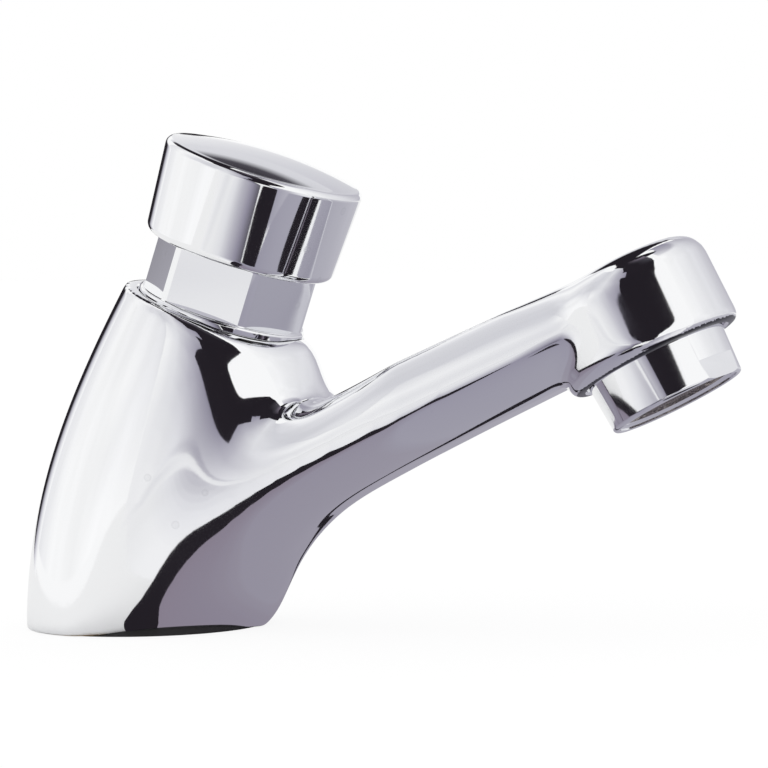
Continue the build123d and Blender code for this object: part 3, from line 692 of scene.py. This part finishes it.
screen_reach, screen_height, screen_crown = 12.2, 2.32, 1.1
screen_pitch, screen_wire, wire_sides = 0.78, 0.13, 5
rim_inner, rim_outer, rim_low, rim_high = 11.6, 12.25, 2.05, 2.6
screen_points, screen_faces = [], []
lines = int(screen_reach / screen_pitch)
for direction in (0, 1):
    for line in range(-lines, lines + 1):
        offset = line * screen_pitch
        half_steps = int(sqrt(max(screen_reach ** 2 - offset ** 2, 0)) / screen_pitch * 2)
        path = []
        for step in range(-half_steps, half_steps + 1):
            along = step * screen_pitch / 2
            weave = cos(pi * along / screen_pitch + pi * (line + direction)) * screen_wire
            spot = (along, offset) if direction == 0 else (offset, along)
            crown = screen_crown * (1 - (along ** 2 + offset ** 2) / screen_reach ** 2)
            path.append(outlet_place @ (Vector((*spot, screen_height - crown + weave)) * mm))
        if len(path) > 3:
            wire_tube(screen_points, screen_faces, path, screen_wire * mm, wire_sides)
screen = new_piece("woven_screen", screen_points, screen_faces)
rim_outline = [(rim_inner, rim_low), (rim_outer, rim_low), (rim_outer, rim_high), (rim_inner, rim_high)]
rim = turned("screen_rim", rim_outline, outlet_place, 120)
rim_mesh = bmesh.new()
rim_mesh.from_mesh(screen.data)
rim_mesh.from_mesh(rim.data)
rim_mesh.to_mesh(screen.data)
rim_mesh.free()
bpy.data.objects.remove(rim)
tidy_faces(screen)
smooth_shading(screen, 60)
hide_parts("aerator_screen")
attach(screen, "tap")
print("woven screen:", len(screen.data.vertices), "points,", 4 * lines + 2, "wires")

# %% [markdown]
# The return spring
#
# Under the button a steel spring pushes it back up. Its wire is round, and its turns lie a little
# flatter towards both ends, as on a spring that has been closed there. A screw modifier could wind it,
# but only at one even pitch, so its path comes from a formula. It shortens as the button goes down.

# %% Return spring
spring_foot, spring_length, spring_radius = 0.2, 19.0, 7.4
spring_wire, spring_turns, steps_a_turn = 1.4, 5.25, 40
closed_share = 0.2
spring_points, spring_faces, spring_path = [], [], []
spring_steps = round(spring_turns * steps_a_turn)
for step in range(spring_steps + 1):
    share = step / spring_steps
    climb = (1 - closed_share) * share + closed_share * (3 * share ** 2 - 2 * share ** 3)
    height = spring_foot + spring_wire / 2 + (spring_length - spring_wire) * climb
    turn = 2 * pi * spring_turns * share
    spot = Vector((spring_radius * cos(turn), spring_radius * sin(turn), height)) * mm
    spring_path.append(push_place @ spot)
wire_tube(spring_points, spring_faces, spring_path, spring_wire / 2 * mm, 12)
spring = new_piece("spring_coil", spring_points, spring_faces)
tidy_faces(spring)
smooth_shading(spring, 60)
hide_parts("return_spring")
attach(spring, "tap")
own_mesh(spring)
print("return spring:", len(spring.data.vertices), "points")

# %% [markdown]
# Finishes
#
# Each finish is made from a few small groups of nodes. A group gives only masks, colours and heights,
# and the finish decides what they do. Chrome shows what stands round it, so its own marks are faint:
# smears where fingers have been, dried drops that dull the mirror, and hair-fine wiping scratches.
# Painted pictures could do this as well, but nodes stay sharp at any distance and need no files.


# %% Node helpers
def new_group(name, inputs, outputs):
    """A shader node group with named number inputs and outputs."""
    group = bpy.data.node_groups.new(name, "ShaderNodeTree")
    for label, value in inputs:
        socket = group.interface.new_socket(name=label, in_out="INPUT", socket_type="NodeSocketFloat")
        socket.default_value = value
    for label in outputs:
        group.interface.new_socket(name=label, in_out="OUTPUT", socket_type="NodeSocketFloat")
    group.nodes.new("NodeGroupInput")
    group.nodes.new("NodeGroupOutput")
    return group


def add(tree, kind, settings=None, links=None):
    """A node with its settings, and its inputs fed from other nodes' outputs."""
    node = tree.nodes.new(kind)
    for label, value in (settings or {}).items():
        if str(label).startswith("."):
            setattr(node, label[1:], value)
        else:
            node.inputs[label].default_value = value
    for label, (source, output) in (links or {}).items():
        tree.links.new(source.outputs[output], node.inputs[label])
    return node


def ends(group):
    """The inner ends of a group."""
    return group.nodes["Group Input"], group.nodes["Group Output"]


# %% [markdown]
# Smears are soft clouds, and the wiping hairs are the same kind of noise, stretched until it is lines.

# %% Group: smears and wiping hairs
smear_group = new_group("wiping_smears", [("Scale", 55.0), ("Hairs", 900.0)], ["Smear", "Height"])
way_in, way_out = ends(smear_group)
place = add(smear_group, "ShaderNodeTexCoord")
noise = add(
    smear_group, "ShaderNodeTexNoise", {"Detail": 5, "Distortion": 0.7},
    {"Vector": (place, "Object"), "Scale": (way_in, "Scale")},
)
smear = add(
    smear_group, "ShaderNodeMapRange", {"From Min": 0.45, "From Max": 0.75}, {"Value": (noise, "Fac")}
)
stretch = add(
    smear_group, "ShaderNodeMapping", {"Scale": (1, 0.05, 1), "Rotation": (0.4, 0.9, 0.3)},
    {"Vector": (place, "Object")},
)
hairs = add(
    smear_group, "ShaderNodeTexNoise", {"Detail": 2},
    {"Vector": (stretch, "Vector"), "Scale": (way_in, "Hairs")},
)
smear_group.links.new(smear.outputs["Result"], way_out.inputs["Smear"])
smear_group.links.new(hairs.outputs["Fac"], way_out.inputs["Height"])
print("group:", smear_group.name)

# %% [markdown]
# Hard water leaves a pale ring where a drop has dried. Voronoi cells give round spots at random
# places; a second, smaller spot taken away from the first leaves a ring, and a few cells get one.

# %% Group: dried drops
drop_group = new_group("dried_drops", [("Scale", 160.0), ("Share", 0.82)], ["Ring", "Spot"])
way_in, way_out = ends(drop_group)
place = add(drop_group, "ShaderNodeTexCoord")
cells = add(
    drop_group, "ShaderNodeTexVoronoi", {"Randomness": 1},
    {"Vector": (place, "Object"), "Scale": (way_in, "Scale")},
)
pick = add(drop_group, "ShaderNodeSeparateColor", {}, {"Color": (cells, "Color")})
chosen = add(
    drop_group, "ShaderNodeMath", {".operation": "GREATER_THAN"}, {0: (pick, "Red"), 1: (way_in, "Share")}
)
spot = add(
    drop_group, "ShaderNodeMapRange", {"From Min": 0.16, "From Max": 0.1}, {"Value": (cells, "Distance")}
)
hollow = add(
    drop_group, "ShaderNodeMapRange", {"From Min": 0.13, "From Max": 0.09, "To Min": 0, "To Max": 0.8},
    {"Value": (cells, "Distance")},
)
edge = add(
    drop_group, "ShaderNodeMath", {".operation": "SUBTRACT", ".use_clamp": True},
    {0: (spot, "Result"), 1: (hollow, "Result")},
)
ring = add(
    drop_group, "ShaderNodeMath", {".operation": "MULTIPLY"}, {0: (edge, "Value"), 1: (chosen, "Value")}
)
whole = add(
    drop_group, "ShaderNodeMath", {".operation": "MULTIPLY"}, {0: (spot, "Result"), 1: (chosen, "Value")}
)
drop_group.links.new(ring.outputs["Value"], way_out.inputs["Ring"])
drop_group.links.new(whole.outputs["Value"], way_out.inputs["Spot"])
print("group:", drop_group.name)

# %% [markdown]
# Hands and cloths reach the outer edges first. Pointiness finds them, and noise breaks the line up.

# %% Group: rubbed edges
edge_group = new_group("rubbed_edges", [("Start", 0.52), ("End", 0.6)], ["Edge"])
way_in, way_out = ends(edge_group)
shape_of = add(edge_group, "ShaderNodeNewGeometry")
place = add(edge_group, "ShaderNodeTexCoord")
breaks = add(edge_group, "ShaderNodeTexNoise", {"Scale": 240, "Detail": 3}, {"Vector": (place, "Object")})
sharp = add(
    edge_group, "ShaderNodeMapRange", {},
    {"Value": (shape_of, "Pointiness"), "From Min": (way_in, "Start"), "From Max": (way_in, "End")},
)
worn = add(
    edge_group, "ShaderNodeMath", {".operation": "MULTIPLY"}, {0: (sharp, "Result"), 1: (breaks, "Fac")}
)
edge_group.links.new(worn.outputs["Value"], way_out.inputs["Edge"])
print("group:", edge_group.name)

# %% [markdown]
# Brass and steel inside the tap are left as the lathe leaves them, with fine rings round the push axis.
# Bands along that axis give the rings, and slow noise gives the patches where the metal has dulled.

# %% Group: lathe lines
lathe_group = new_group("lathe_lines", [("Scale", 900.0)], ["Height", "Tone"])
way_in, way_out = ends(lathe_group)
place = add(lathe_group, "ShaderNodeTexCoord")
upright = add(
    lathe_group, "ShaderNodeMapping", {"Rotation": (0, -push_lean, 0)}, {"Vector": (place, "Object")}
)
rings = add(
    lathe_group, "ShaderNodeTexWave",
    {".bands_direction": "Z", "Distortion": 0.6, "Detail": 2, "Detail Scale": 2},
    {"Vector": (upright, "Vector"), "Scale": (way_in, "Scale")},
)
patches = add(lathe_group, "ShaderNodeTexNoise", {"Scale": 90, "Detail": 4}, {"Vector": (place, "Object")})
lathe_group.links.new(rings.outputs["Fac"], way_out.inputs["Height"])
lathe_group.links.new(patches.outputs["Fac"], way_out.inputs["Tone"])
print("group:", lathe_group.name)

# %% [markdown]
# Plastic and rubber take the fine grain of the mould that they are pressed in, and their colour is
# never quite even.

# %% Group: moulded skin
skin_group = new_group("moulded_skin", [("Grain", 1400.0), ("Clouds", 60.0)], ["Height", "Cloud"])
way_in, way_out = ends(skin_group)
place = add(skin_group, "ShaderNodeTexCoord")
grain = add(
    skin_group, "ShaderNodeTexNoise", {"Detail": 3}, {"Vector": (place, "Object"), "Scale": (way_in, "Grain")}
)
clouds = add(
    skin_group, "ShaderNodeTexNoise", {"Detail": 4},
    {"Vector": (place, "Object"), "Scale": (way_in, "Clouds")},
)
skin_group.links.new(grain.outputs["Fac"], way_out.inputs["Height"])
skin_group.links.new(clouds.outputs["Fac"], way_out.inputs["Cloud"])
print("group:", skin_group.name)

# %% [markdown]
# From groups to finishes
#
# A finish is one Principled shader. The groups say where it changes, and the numbers given here say by
# how much. A few small helpers keep each finish down to the lines that make it different.


# %% Making a finish
def new_material(name, metal):
    """A material with a Principled shader, and its tree."""
    material = bpy.data.materials.new(name)
    material.use_nodes = True
    tree = material.node_tree
    surface = tree.nodes["Principled BSDF"]
    surface.inputs["Metallic"].default_value = metal
    return material, tree, surface


def use(tree, group, settings=None):
    """A group placed in a material."""
    return add(tree, "ShaderNodeGroup", {".node_tree": group, **(settings or {})})


def mixed(tree, low, high, source, output):
    """A colour between two tones, chosen by a mask."""
    node = add(tree, "ShaderNodeMix", {".data_type": "RGBA"})
    for socket in node.inputs:
        if socket.name in ("A", "B") and socket.type == "RGBA":
            socket.default_value = (*(low if socket.name == "A" else high), 1)
    factor = next(socket for socket in node.inputs if socket.name == "Factor" and socket.type == "VALUE")
    tree.links.new(source.outputs[output], factor)
    return next(socket for socket in node.outputs if socket.type == "RGBA")


def scaled(tree, source, output, factor, start=0.0):
    """A mask times a factor, plus a start."""
    settings = {".operation": "MULTIPLY_ADD", 1: factor, 2: start}
    return add(tree, "ShaderNodeMath", settings, {0: (source, output)})


def joined(tree, source, output, factor, other, clamp=False):
    """A mask times a factor, added to another value."""
    settings = {".operation": "MULTIPLY_ADD", ".use_clamp": clamp, 1: factor}
    return add(tree, "ShaderNodeMath", settings, {0: (source, output), 2: (other, "Value")})


def bumped(tree, surface, source, output, strength, depth):
    """Height of a mask on the surface, depth in metres."""
    settings = {"Strength": strength, "Distance": depth}
    bump = add(tree, "ShaderNodeBump", settings, {"Height": (source, output)})
    tree.links.new(bump.outputs["Normal"], surface.inputs["Normal"])


# %% [markdown]
# Chrome is nearly white and very smooth. Smears, dried drops and rubbed edges only dull it a little.


# %% Chrome
hair_depth = 0.00002


def chrome_finish(name, bright, dry, clean_rough, smear_amount):
    """Polished chrome with smears, dried drops and softly rubbed edges."""
    material, tree, surface = new_material(name, 1)
    smears = use(tree, smear_group)
    drops = use(tree, drop_group)
    edges = use(tree, edge_group)
    tree.links.new(mixed(tree, bright, dry, drops, "Ring"), surface.inputs["Base Color"])
    dulled = scaled(tree, smears, "Smear", smear_amount, clean_rough)
    spotted = joined(tree, drops, "Spot", 0.07, dulled)
    rubbed = joined(tree, edges, "Edge", 0.08, spotted)
    tree.links.new(rubbed.outputs["Value"], surface.inputs["Roughness"])
    bumped(tree, surface, smears, "Height", 0.05, hair_depth)
    return material


chrome = chrome_finish("chrome", (0.93, 0.935, 0.945), (0.80, 0.81, 0.82), 0.045, 0.035)
print("finish: chrome")

# %% [markdown]
# Four metals are made alike: brass, spring steel and the screen's wire, left as they were turned or
# drawn, and a near-black chrome that is painted shade on the ledge over the collar. They differ in
# colour, in roughness and in how fine their lines are.


# %% Brass and steel
def turned_metal(name, tone, dark_tone, rough, lines):
    """Bare metal with lathe lines, patches of tarnish and bright edges."""
    material, tree, surface = new_material(name, 1)
    lathe = use(tree, lathe_group, {"Scale": lines})
    smears = use(tree, smear_group)
    edges = use(tree, edge_group)
    tree.links.new(mixed(tree, tone, dark_tone, lathe, "Tone"), surface.inputs["Base Color"])
    duller = scaled(tree, smears, "Smear", 0.12, rough)
    brighter = joined(tree, edges, "Edge", -0.15, duller, True)
    tree.links.new(brighter.outputs["Value"], surface.inputs["Roughness"])
    bumped(tree, surface, lathe, "Height", 0.25, hair_depth)
    return material


brass = turned_metal("brass", (0.80, 0.58, 0.27), (0.52, 0.34, 0.14), 0.24, 900)
steel = turned_metal("steel", (0.66, 0.66, 0.67), (0.42, 0.42, 0.44), 0.26, 1300)
wire_steel = turned_metal("woven_steel", (0.44, 0.395, 0.37), (0.20, 0.17, 0.16), 0.38, 1300)
# Near-black chrome: painted shade for the ledge over the collar, where head and collar meet.
ledge_shade_chrome = turned_metal("painted_shade_chrome", (0.10, 0.10, 0.11), (0.05, 0.05, 0.055), 0.3, 600)
print("finishes: brass, steel, woven steel, unpolished chrome")

# %% [markdown]
# The seals are black rubber and the cartridge's body is pale plastic. Both are matt, and where an edge
# is rubbed they shine a little more.


# %% Plastic and rubber
def moulded(name, tone, dark_tone, rough, grain, depth):
    """Moulded plastic or rubber: a fine grain, faint clouds of colour, and edges rubbed smoother."""
    material, tree, surface = new_material(name, 0)
    skin_of = use(tree, skin_group, {"Grain": grain})
    edges = use(tree, edge_group)
    tree.links.new(mixed(tree, tone, dark_tone, skin_of, "Cloud"), surface.inputs["Base Color"])
    clouded = scaled(tree, skin_of, "Cloud", 0.15, rough - 0.07)
    rubbed = joined(tree, edges, "Edge", -0.1, clouded)
    tree.links.new(rubbed.outputs["Value"], surface.inputs["Roughness"])
    bumped(tree, surface, skin_of, "Height", 0.3, depth)
    return material


plastic = moulded("plastic", (0.62, 0.61, 0.58), (0.50, 0.49, 0.46), 0.45, 1400, hair_depth)
rubber = moulded("rubber", (0.028, 0.027, 0.028), (0.012, 0.012, 0.013), 0.72, 900, 2 * hair_depth)
print("finishes: plastic, rubber")

# %% [markdown]
# Every piece of the frame gets the finish that its slot names, and the new pieces get theirs.

# %% Finishes onto the pieces
finishes = {"chrome": chrome, "brass": brass, "steel": steel, "plastic": plastic, "rubber": rubber}
slot_of = {part["node"]: part["material_slot"] for part in record["subparts"]}
for name, node in nodes.items():
    node.data.materials.clear()
    node.data.materials.append(finishes[slot_of[name]])
for piece in (casting, button, bonnet, collar):
    piece.data.materials.clear()
    piece.data.materials.append(chrome)
screen.data.materials.append(wire_steel)
spring.data.materials.append(steel)
print("finishes:", sorted(finishes))

# %% [markdown]
# The plating bath doesn't reach the machined bores, and nobody polishes the underside, so the inside
# of the casting is bare brass. The ledge above the outlet collar gets the near-black chrome: painted
# shade for the dark gap between the head and the collar.

# %% Bare brass in the bores, painted shade on the ledge
casting.data.materials.append(brass)
casting.data.materials.append(ledge_shade_chrome)
bare_brass, painted_shade = 1, 2
into_push, into_outlet = push_place.inverted(), outlet_place.inverted()
# Limits in mm: reach from the axis, and lowest and highest place along it
bore_reach, bore_low, bore_high = 15.2, -54, -1.85
chamber_reach, chamber_low, chamber_high = 14.3, 10, 26
passage_reach, passage_high = 9.4, 23
bottom_reach, bottom_high = 24, 11
ledge_inner, ledge_outer, ledge_depth = 13, 19, 0.6
hollow_centre, hollow_half_length, hollow_half_width, hollow_high, hollow_edge = 0.4, 23.3, 21, 9.2, 1.04
looks_down, ledge_looks_down = -0.9, -0.75


def between(value, low, high):
    """Whether a value in metres lies between two limits in mm."""
    return low * mm < value < high * mm


bare = 0
for face in casting.data.polygons:
    middle = face.center
    by_push, by_outlet = into_push @ middle, into_outlet @ middle
    from_push, from_outlet, from_inlet = (hypot(spot.x, spot.y) for spot in (by_push, by_outlet, middle))
    in_mouth = from_push < bore_reach * mm and between(by_push.z, bore_low, bore_high)
    in_outlet = from_outlet < chamber_reach * mm and between(by_outlet.z, chamber_low, chamber_high)
    in_foot = middle.z < bottom_high * mm and from_inlet < bottom_reach * mm and face.normal.z < looks_down
    in_inlet = from_inlet < passage_reach * mm and middle.z < passage_high * mm
    far_along = (middle.x - hollow_centre * mm) / (hollow_half_length * mm)
    far_across = middle.y / (hollow_half_width * mm)
    under = middle.z < hollow_high * mm and far_along ** 2 + far_across ** 2 < hollow_edge
    if in_mouth or in_outlet or in_foot or in_inlet or under:
        face.material_index = bare_brass
        bare += 1
    # The ledge over the collar gets the near-black chrome, which paints its shade.
    facing = into_outlet.to_3x3() @ face.normal
    on_ledge = abs(by_outlet.z - head_foot * mm) < ledge_depth * mm and facing.z < ledge_looks_down
    if on_ledge and between(from_outlet, ledge_inner, ledge_outer):
        face.material_index = painted_shade
print("bare brass faces:", bare)

# %% [markdown]
# What the chrome reflects
#
# The tap stands in a white tent, and that alone would leave a chrome body without any shape. So black
# and grey boards stand round it, which only the chrome sees. It draws them as the dark bands and the
# soft grey turns that make it read as metal. Each board is given as rows: a height angle, and the
# two bearings between which it stands, counted from the camera and to the right.
#
# Lamps could light the chrome as well, but a lamp is small and draws a small bright spot. A
# photographer who wants long calm bands on metal uses large boards, and so does this stage.


# %% Paint of the boards
def empty_material(name):
    """A material without nodes, and its tree."""
    material = bpy.data.materials.new(name)
    material.use_nodes = True
    material.node_tree.nodes.clear()
    return material, material.node_tree


def plain_glow(name):
    """A surface that shows the tone painted on its points, for boards and sheets."""
    material, tree = empty_material(name)
    tone = add(tree, "ShaderNodeAttribute", {".attribute_name": "tone"})
    place = add(tree, "ShaderNodeTexCoord")
    cloud = add(tree, "ShaderNodeTexNoise", {"Scale": 4, "Detail": 2}, {"Vector": (place, "Object")})
    uneven = add(
        tree, "ShaderNodeMapRange", {"From Min": 0.3, "From Max": 0.7, "To Min": 0.94, "To Max": 1.03},
        {"Value": (cloud, "Fac")},
    )
    glow = add(tree, "ShaderNodeEmission", {}, {"Color": (tone, "Color"), "Strength": (uneven, "Result")})
    add(tree, "ShaderNodeOutputMaterial", {}, {"Surface": (glow, "Emission")})
    return material


board_paint = plain_glow("board_paint")
black = (0.018, 0.015, 0.020)
dusk = (0.075, 0.07, 0.085)
lilac = (0.30, 0.285, 0.36)
plum = (0.25, 0.215, 0.27)
pale_lilac = (0.36, 0.35, 0.42)
mist = (0.50, 0.49, 0.55)
veil = (0.68, 0.68, 0.72)
haze = (0.80, 0.80, 0.83)
paper = (0.90, 0.90, 0.91)
snow = (1.0, 1.0, 1.0)
print("paint ready, from black to snow")


# %% Boards, sheets, fans and pools
studio_middle = 50
studio_centre = Vector((studio_middle, 0, studio_middle)) * mm


def only_reflected(piece, tones):
    """The chrome sees this piece, and neither the camera nor the light does."""
    layer = piece.data.color_attributes.new("tone", "FLOAT_COLOR", "POINT")
    for point, tone in zip(layer.data, tones):
        point.color = (*tone, 1)
    piece.data.materials.append(board_paint)
    piece.visible_camera = False
    piece.visible_diffuse = False
    piece.visible_shadow = False


def tone_between(tones, share):
    """The tone at a share of the way through a row of tones."""
    if len(tones) == 1:
        return tones[0]
    spot = share * (len(tones) - 1)
    low = min(int(spot), len(tones) - 2)
    mix = spot - low
    return [a * (1 - mix) + b * mix for a, b in zip(tones[low], tones[low + 1])]


def board(name, rows, distance=0.9, steps=24):
    """A board through rows of height angle, first and last bearing, and tones from first to last bearing."""
    points, colours = [], []
    for height, first, last, *tones in rows:
        for step in range(steps + 1):
            share = step / steps
            turn = view_turn + radians(first + (last - first) * share)
            level = cos(radians(height))
            way = Vector((sin(turn) * level, -cos(turn) * level, sin(radians(height))))
            points.append(studio_centre + way * distance)
            colours.append(tone_between(tones, share))
    width = steps + 1
    faces = [
        (row * width + s, row * width + s + 1, (row + 1) * width + s + 1, (row + 1) * width + s)
        for row in range(len(rows) - 1)
        for s in range(steps)
    ]
    only_reflected(new_piece(name, points, faces), colours)


def sheet(name, corners, tones, lift, rounds=2):
    """A sheet that lies on the deck, corners in mm and one tone for each; its corners are cut round."""
    spots = [(*corner, *tone) for corner, tone in zip(corners, tones)]
    for _ in range(rounds):
        cut = []
        for here, after in zip(spots, spots[1:] + spots[:1]):
            cut.append(tuple(0.75 * a + 0.25 * b for a, b in zip(here, after)))
            cut.append(tuple(0.25 * a + 0.75 * b for a, b in zip(here, after)))
        spots = cut
    piece = new_piece(name, [Vector((x, y, lift)) * mm for x, y, *_ in spots], [tuple(range(len(spots)))])
    only_reflected(piece, [spot[2:] for spot in spots])


def fan(name, near, far, first, last, tones, lift, steps=24):
    """A soft fan on the deck between two radii in mm and two bearings, tones from first to last bearing."""
    points, colours = [], []
    for radius in (near, far):
        for step in range(steps + 1):
            share = step / steps
            turn = view_turn + radians(first + (last - first) * share)
            points.append(Vector((studio_middle + sin(turn) * radius, -cos(turn) * radius, lift)) * mm)
            colours.append(tone_between(tones, share))
    faces = [(s, s + 1, steps + 2 + s, steps + 1 + s) for s in range(steps)]
    only_reflected(new_piece(name, points, faces), colours)


def pool(name, centre, across_size, along_size, tone, rim, lift=0.3, steps=40):
    """A soft round patch on the deck, sizes in mm, that fades from its middle to its rim."""
    points = [Vector((*centre, lift)) * mm]
    for step in range(steps):
        turn = 2 * pi * step / steps
        rim_spot = (centre[0] + across_size * cos(turn), centre[1] + along_size * sin(turn), lift)
        points.append(Vector(rim_spot) * mm)
    faces = [(0, 1 + step, 1 + (step + 1) % steps) for step in range(steps)]
    only_reflected(new_piece(name, points, faces), [tone] + [rim] * steps)


print("helpers for the stage ready")

# %% [markdown]
# The front board draws the tall black bands on the button, the column and the head. Its right edge
# moves outwards as it rises, because column and button lean and so mirror a slanting strip of the room.
# The other boards turn the white tent grey towards the sides, and the roof darkens what looks up.

# %% Boards round the tap
board(
    "front_board",
    [(-5, -7, 11, black), (0, -10, 12, black), (4, -16, 13, black), (7, -20, 13, black), (9, -18, 13, black),
     (12, -13, 15, black), (14, -9, 18, black), (20, -8, 26, black), (26, -8, 34, black), (32, -8, 42, black),
     (45, -9, 46, black), (58, -16, 46, black, black, dusk), (66, -60, 46, black, black, dusk),
     (78, -120, 46, black, black, plum)],
    0.8,
)
board(
    "front_turn",
    [(-3, -52, 2, paper, paper, haze, mist, lilac, dusk), (3, -52, 0, paper, haze, mist, lilac, dusk),
     (9, -52, 0, snow, haze, mist, lilac, dusk), (20, -52, 0, veil, haze, mist, lilac),
     (50, -52, 0, veil, haze, mist, lilac), (70, -52, 0, haze, mist)],
    0.82,
)
board(
    "far_left_board",
    [(-10, -177, -134, *[black] * 6, mist, haze, snow), (13, -177, -134, *[black] * 6, mist, haze, snow),
     (18, -176.5, -138, mist, haze, snow)],
)
board(
    "left_tent",
    [(-1, -140, -52, haze, snow, snow, snow), (12, -140, -52, haze, snow, snow, haze),
     (20, -140, -52, haze, snow, haze, veil), (60, -140, -52, haze, snow, haze, veil)],
    0.95,
)
board(
    "dome_turn",
    [(14, 158, 186, mist, veil, snow), (31, 158, 186, mist, veil, haze), (40, 158, 186, mist, veil, haze)],
    0.88,
)
board(
    "right_turn",
    [(-2, 60, 158, paper, haze, mist), (36, 60, 158, snow, haze, mist), (52, 60, 158, snow, haze, mist),
     (58, 60, 158, haze, mist, lilac), (74, 70, 158, mist, lilac)],
)
board(
    "back_roof",
    [(29, 158, 200, veil, haze), (34, 160, 203, veil, haze), (38, 164, 206, dusk), (45, 165, 215, black),
     (74, 165, 270, black)],
    0.85,
)
board("roof", [(71, -196, 96, black), (89.9, -196, 96, black)], 0.84, 72)

# %% [markdown]
# What hangs over looks down, so the flank, the keel and the neck mirror the deck and not the room. The
# grey sheet gives the grey under the spout, and a black strip along its edge, painted shadow of that
# edge, draws the dark line that divides the flank from the bright side. Where two sheets cross, the
# upper one has a little more lift.

# %% Sheets on the deck
sheet(
    "grey_sheet",
    [(9, -24), (24, -60), (48, -84), (64, -120), (62, -158), (90, -135), (147, -112), (420, -260),
     (900, -260), (900, 700), (-100, 700), (12, 60)],
    [plum, plum, plum, lilac, lilac, lilac, pale_lilac, mist, mist, veil, veil, lilac],
    0.3,
)
fan("front_floor_turn", 30, 2400, -50, -9, [paper, paper, haze, mist, lilac, dusk], 0.2)
fan("right_floor_turn", 150, 2400, 9, 62, [pale_lilac, mist, haze, paper], 0.36)
# A black strip along the grey sheet's edge: painted shadow of that edge, which only the chrome mirrors.
sheet(
    "sheet_edge_shadow",
    [(4, -17), (12, -17), (19, -42), (36, -66), (54, -88), (66, -120), (64, -160), (48, -140), (31, -104),
     (16, -70), (8, -44)],
    [black] * 11,
    0.5,
)
sheet("front_tape", [(80, -104), (113, -240), (190, -206), (106, -98)], [black] * 4, 0.5, 1)
# A black sheet under the head: painted shadow on the deck, which only the chrome mirrors.
sheet("head_shade", [(133, -44), (150, -55), (178, -52), (186, -10), (176, 14), (146, 10)], [black] * 6, 0.65)
sheet("keel_line", [(6, 52), (45, 45), (95, 42), (95, 57), (45, 59), (6, 56)], [black] * 6, 0.66, 1)
pool("nut_pool", (-100, -590), 170, 150, haze, paper)

# %% [markdown]
# Floor and light
#
# The tap stands on a white deck in an even white light. For the camera the deck glows a little, so
# that it fades into the background without an edge, and it still keeps some of the tap's shadow.

# %% Floor and world
deck_half = 3
deck_tone, deck_glow, glow_share = 0.9, 1.03, 0.85
deck_corners = [(-deck_half, -deck_half, 0), (deck_half, -deck_half, 0), (deck_half, deck_half, 0)]
deck = new_piece("deck", deck_corners + [(-deck_half, deck_half, 0)], [(0, 1, 2, 3)])
material, tree = empty_material("deck_white")
matt = add(tree, "ShaderNodeBsdfDiffuse", {"Color": (deck_tone, deck_tone, deck_tone, 1)})
glow = add(tree, "ShaderNodeEmission", {"Color": (*snow, 1), "Strength": deck_glow})
seen = add(tree, "ShaderNodeLightPath")
part = add(
    tree, "ShaderNodeMath", {".operation": "MULTIPLY", 1: glow_share}, {0: (seen, "Is Camera Ray")}
)
mixer = add(tree, "ShaderNodeMixShader", {}, {0: (part, "Value"), 1: (matt, "BSDF"), 2: (glow, "Emission")})
add(tree, "ShaderNodeOutputMaterial", {}, {"Surface": (mixer, "Shader")})
deck.data.materials.append(material)
world = bpy.data.worlds.new("studio")
world.use_nodes = True
background = world.node_tree.nodes["Background"]
background.inputs["Color"].default_value = (*snow, 1)
background.inputs["Strength"].default_value = 1.0
bpy.context.scene.world = world
bpy.context.scene.view_settings.view_transform = "Standard"
print("deck and light ready")

# %% [markdown]
# The size
#
# The dressed tap has to fill the same box as the frame it was built on.

# %% End
print("scene built")
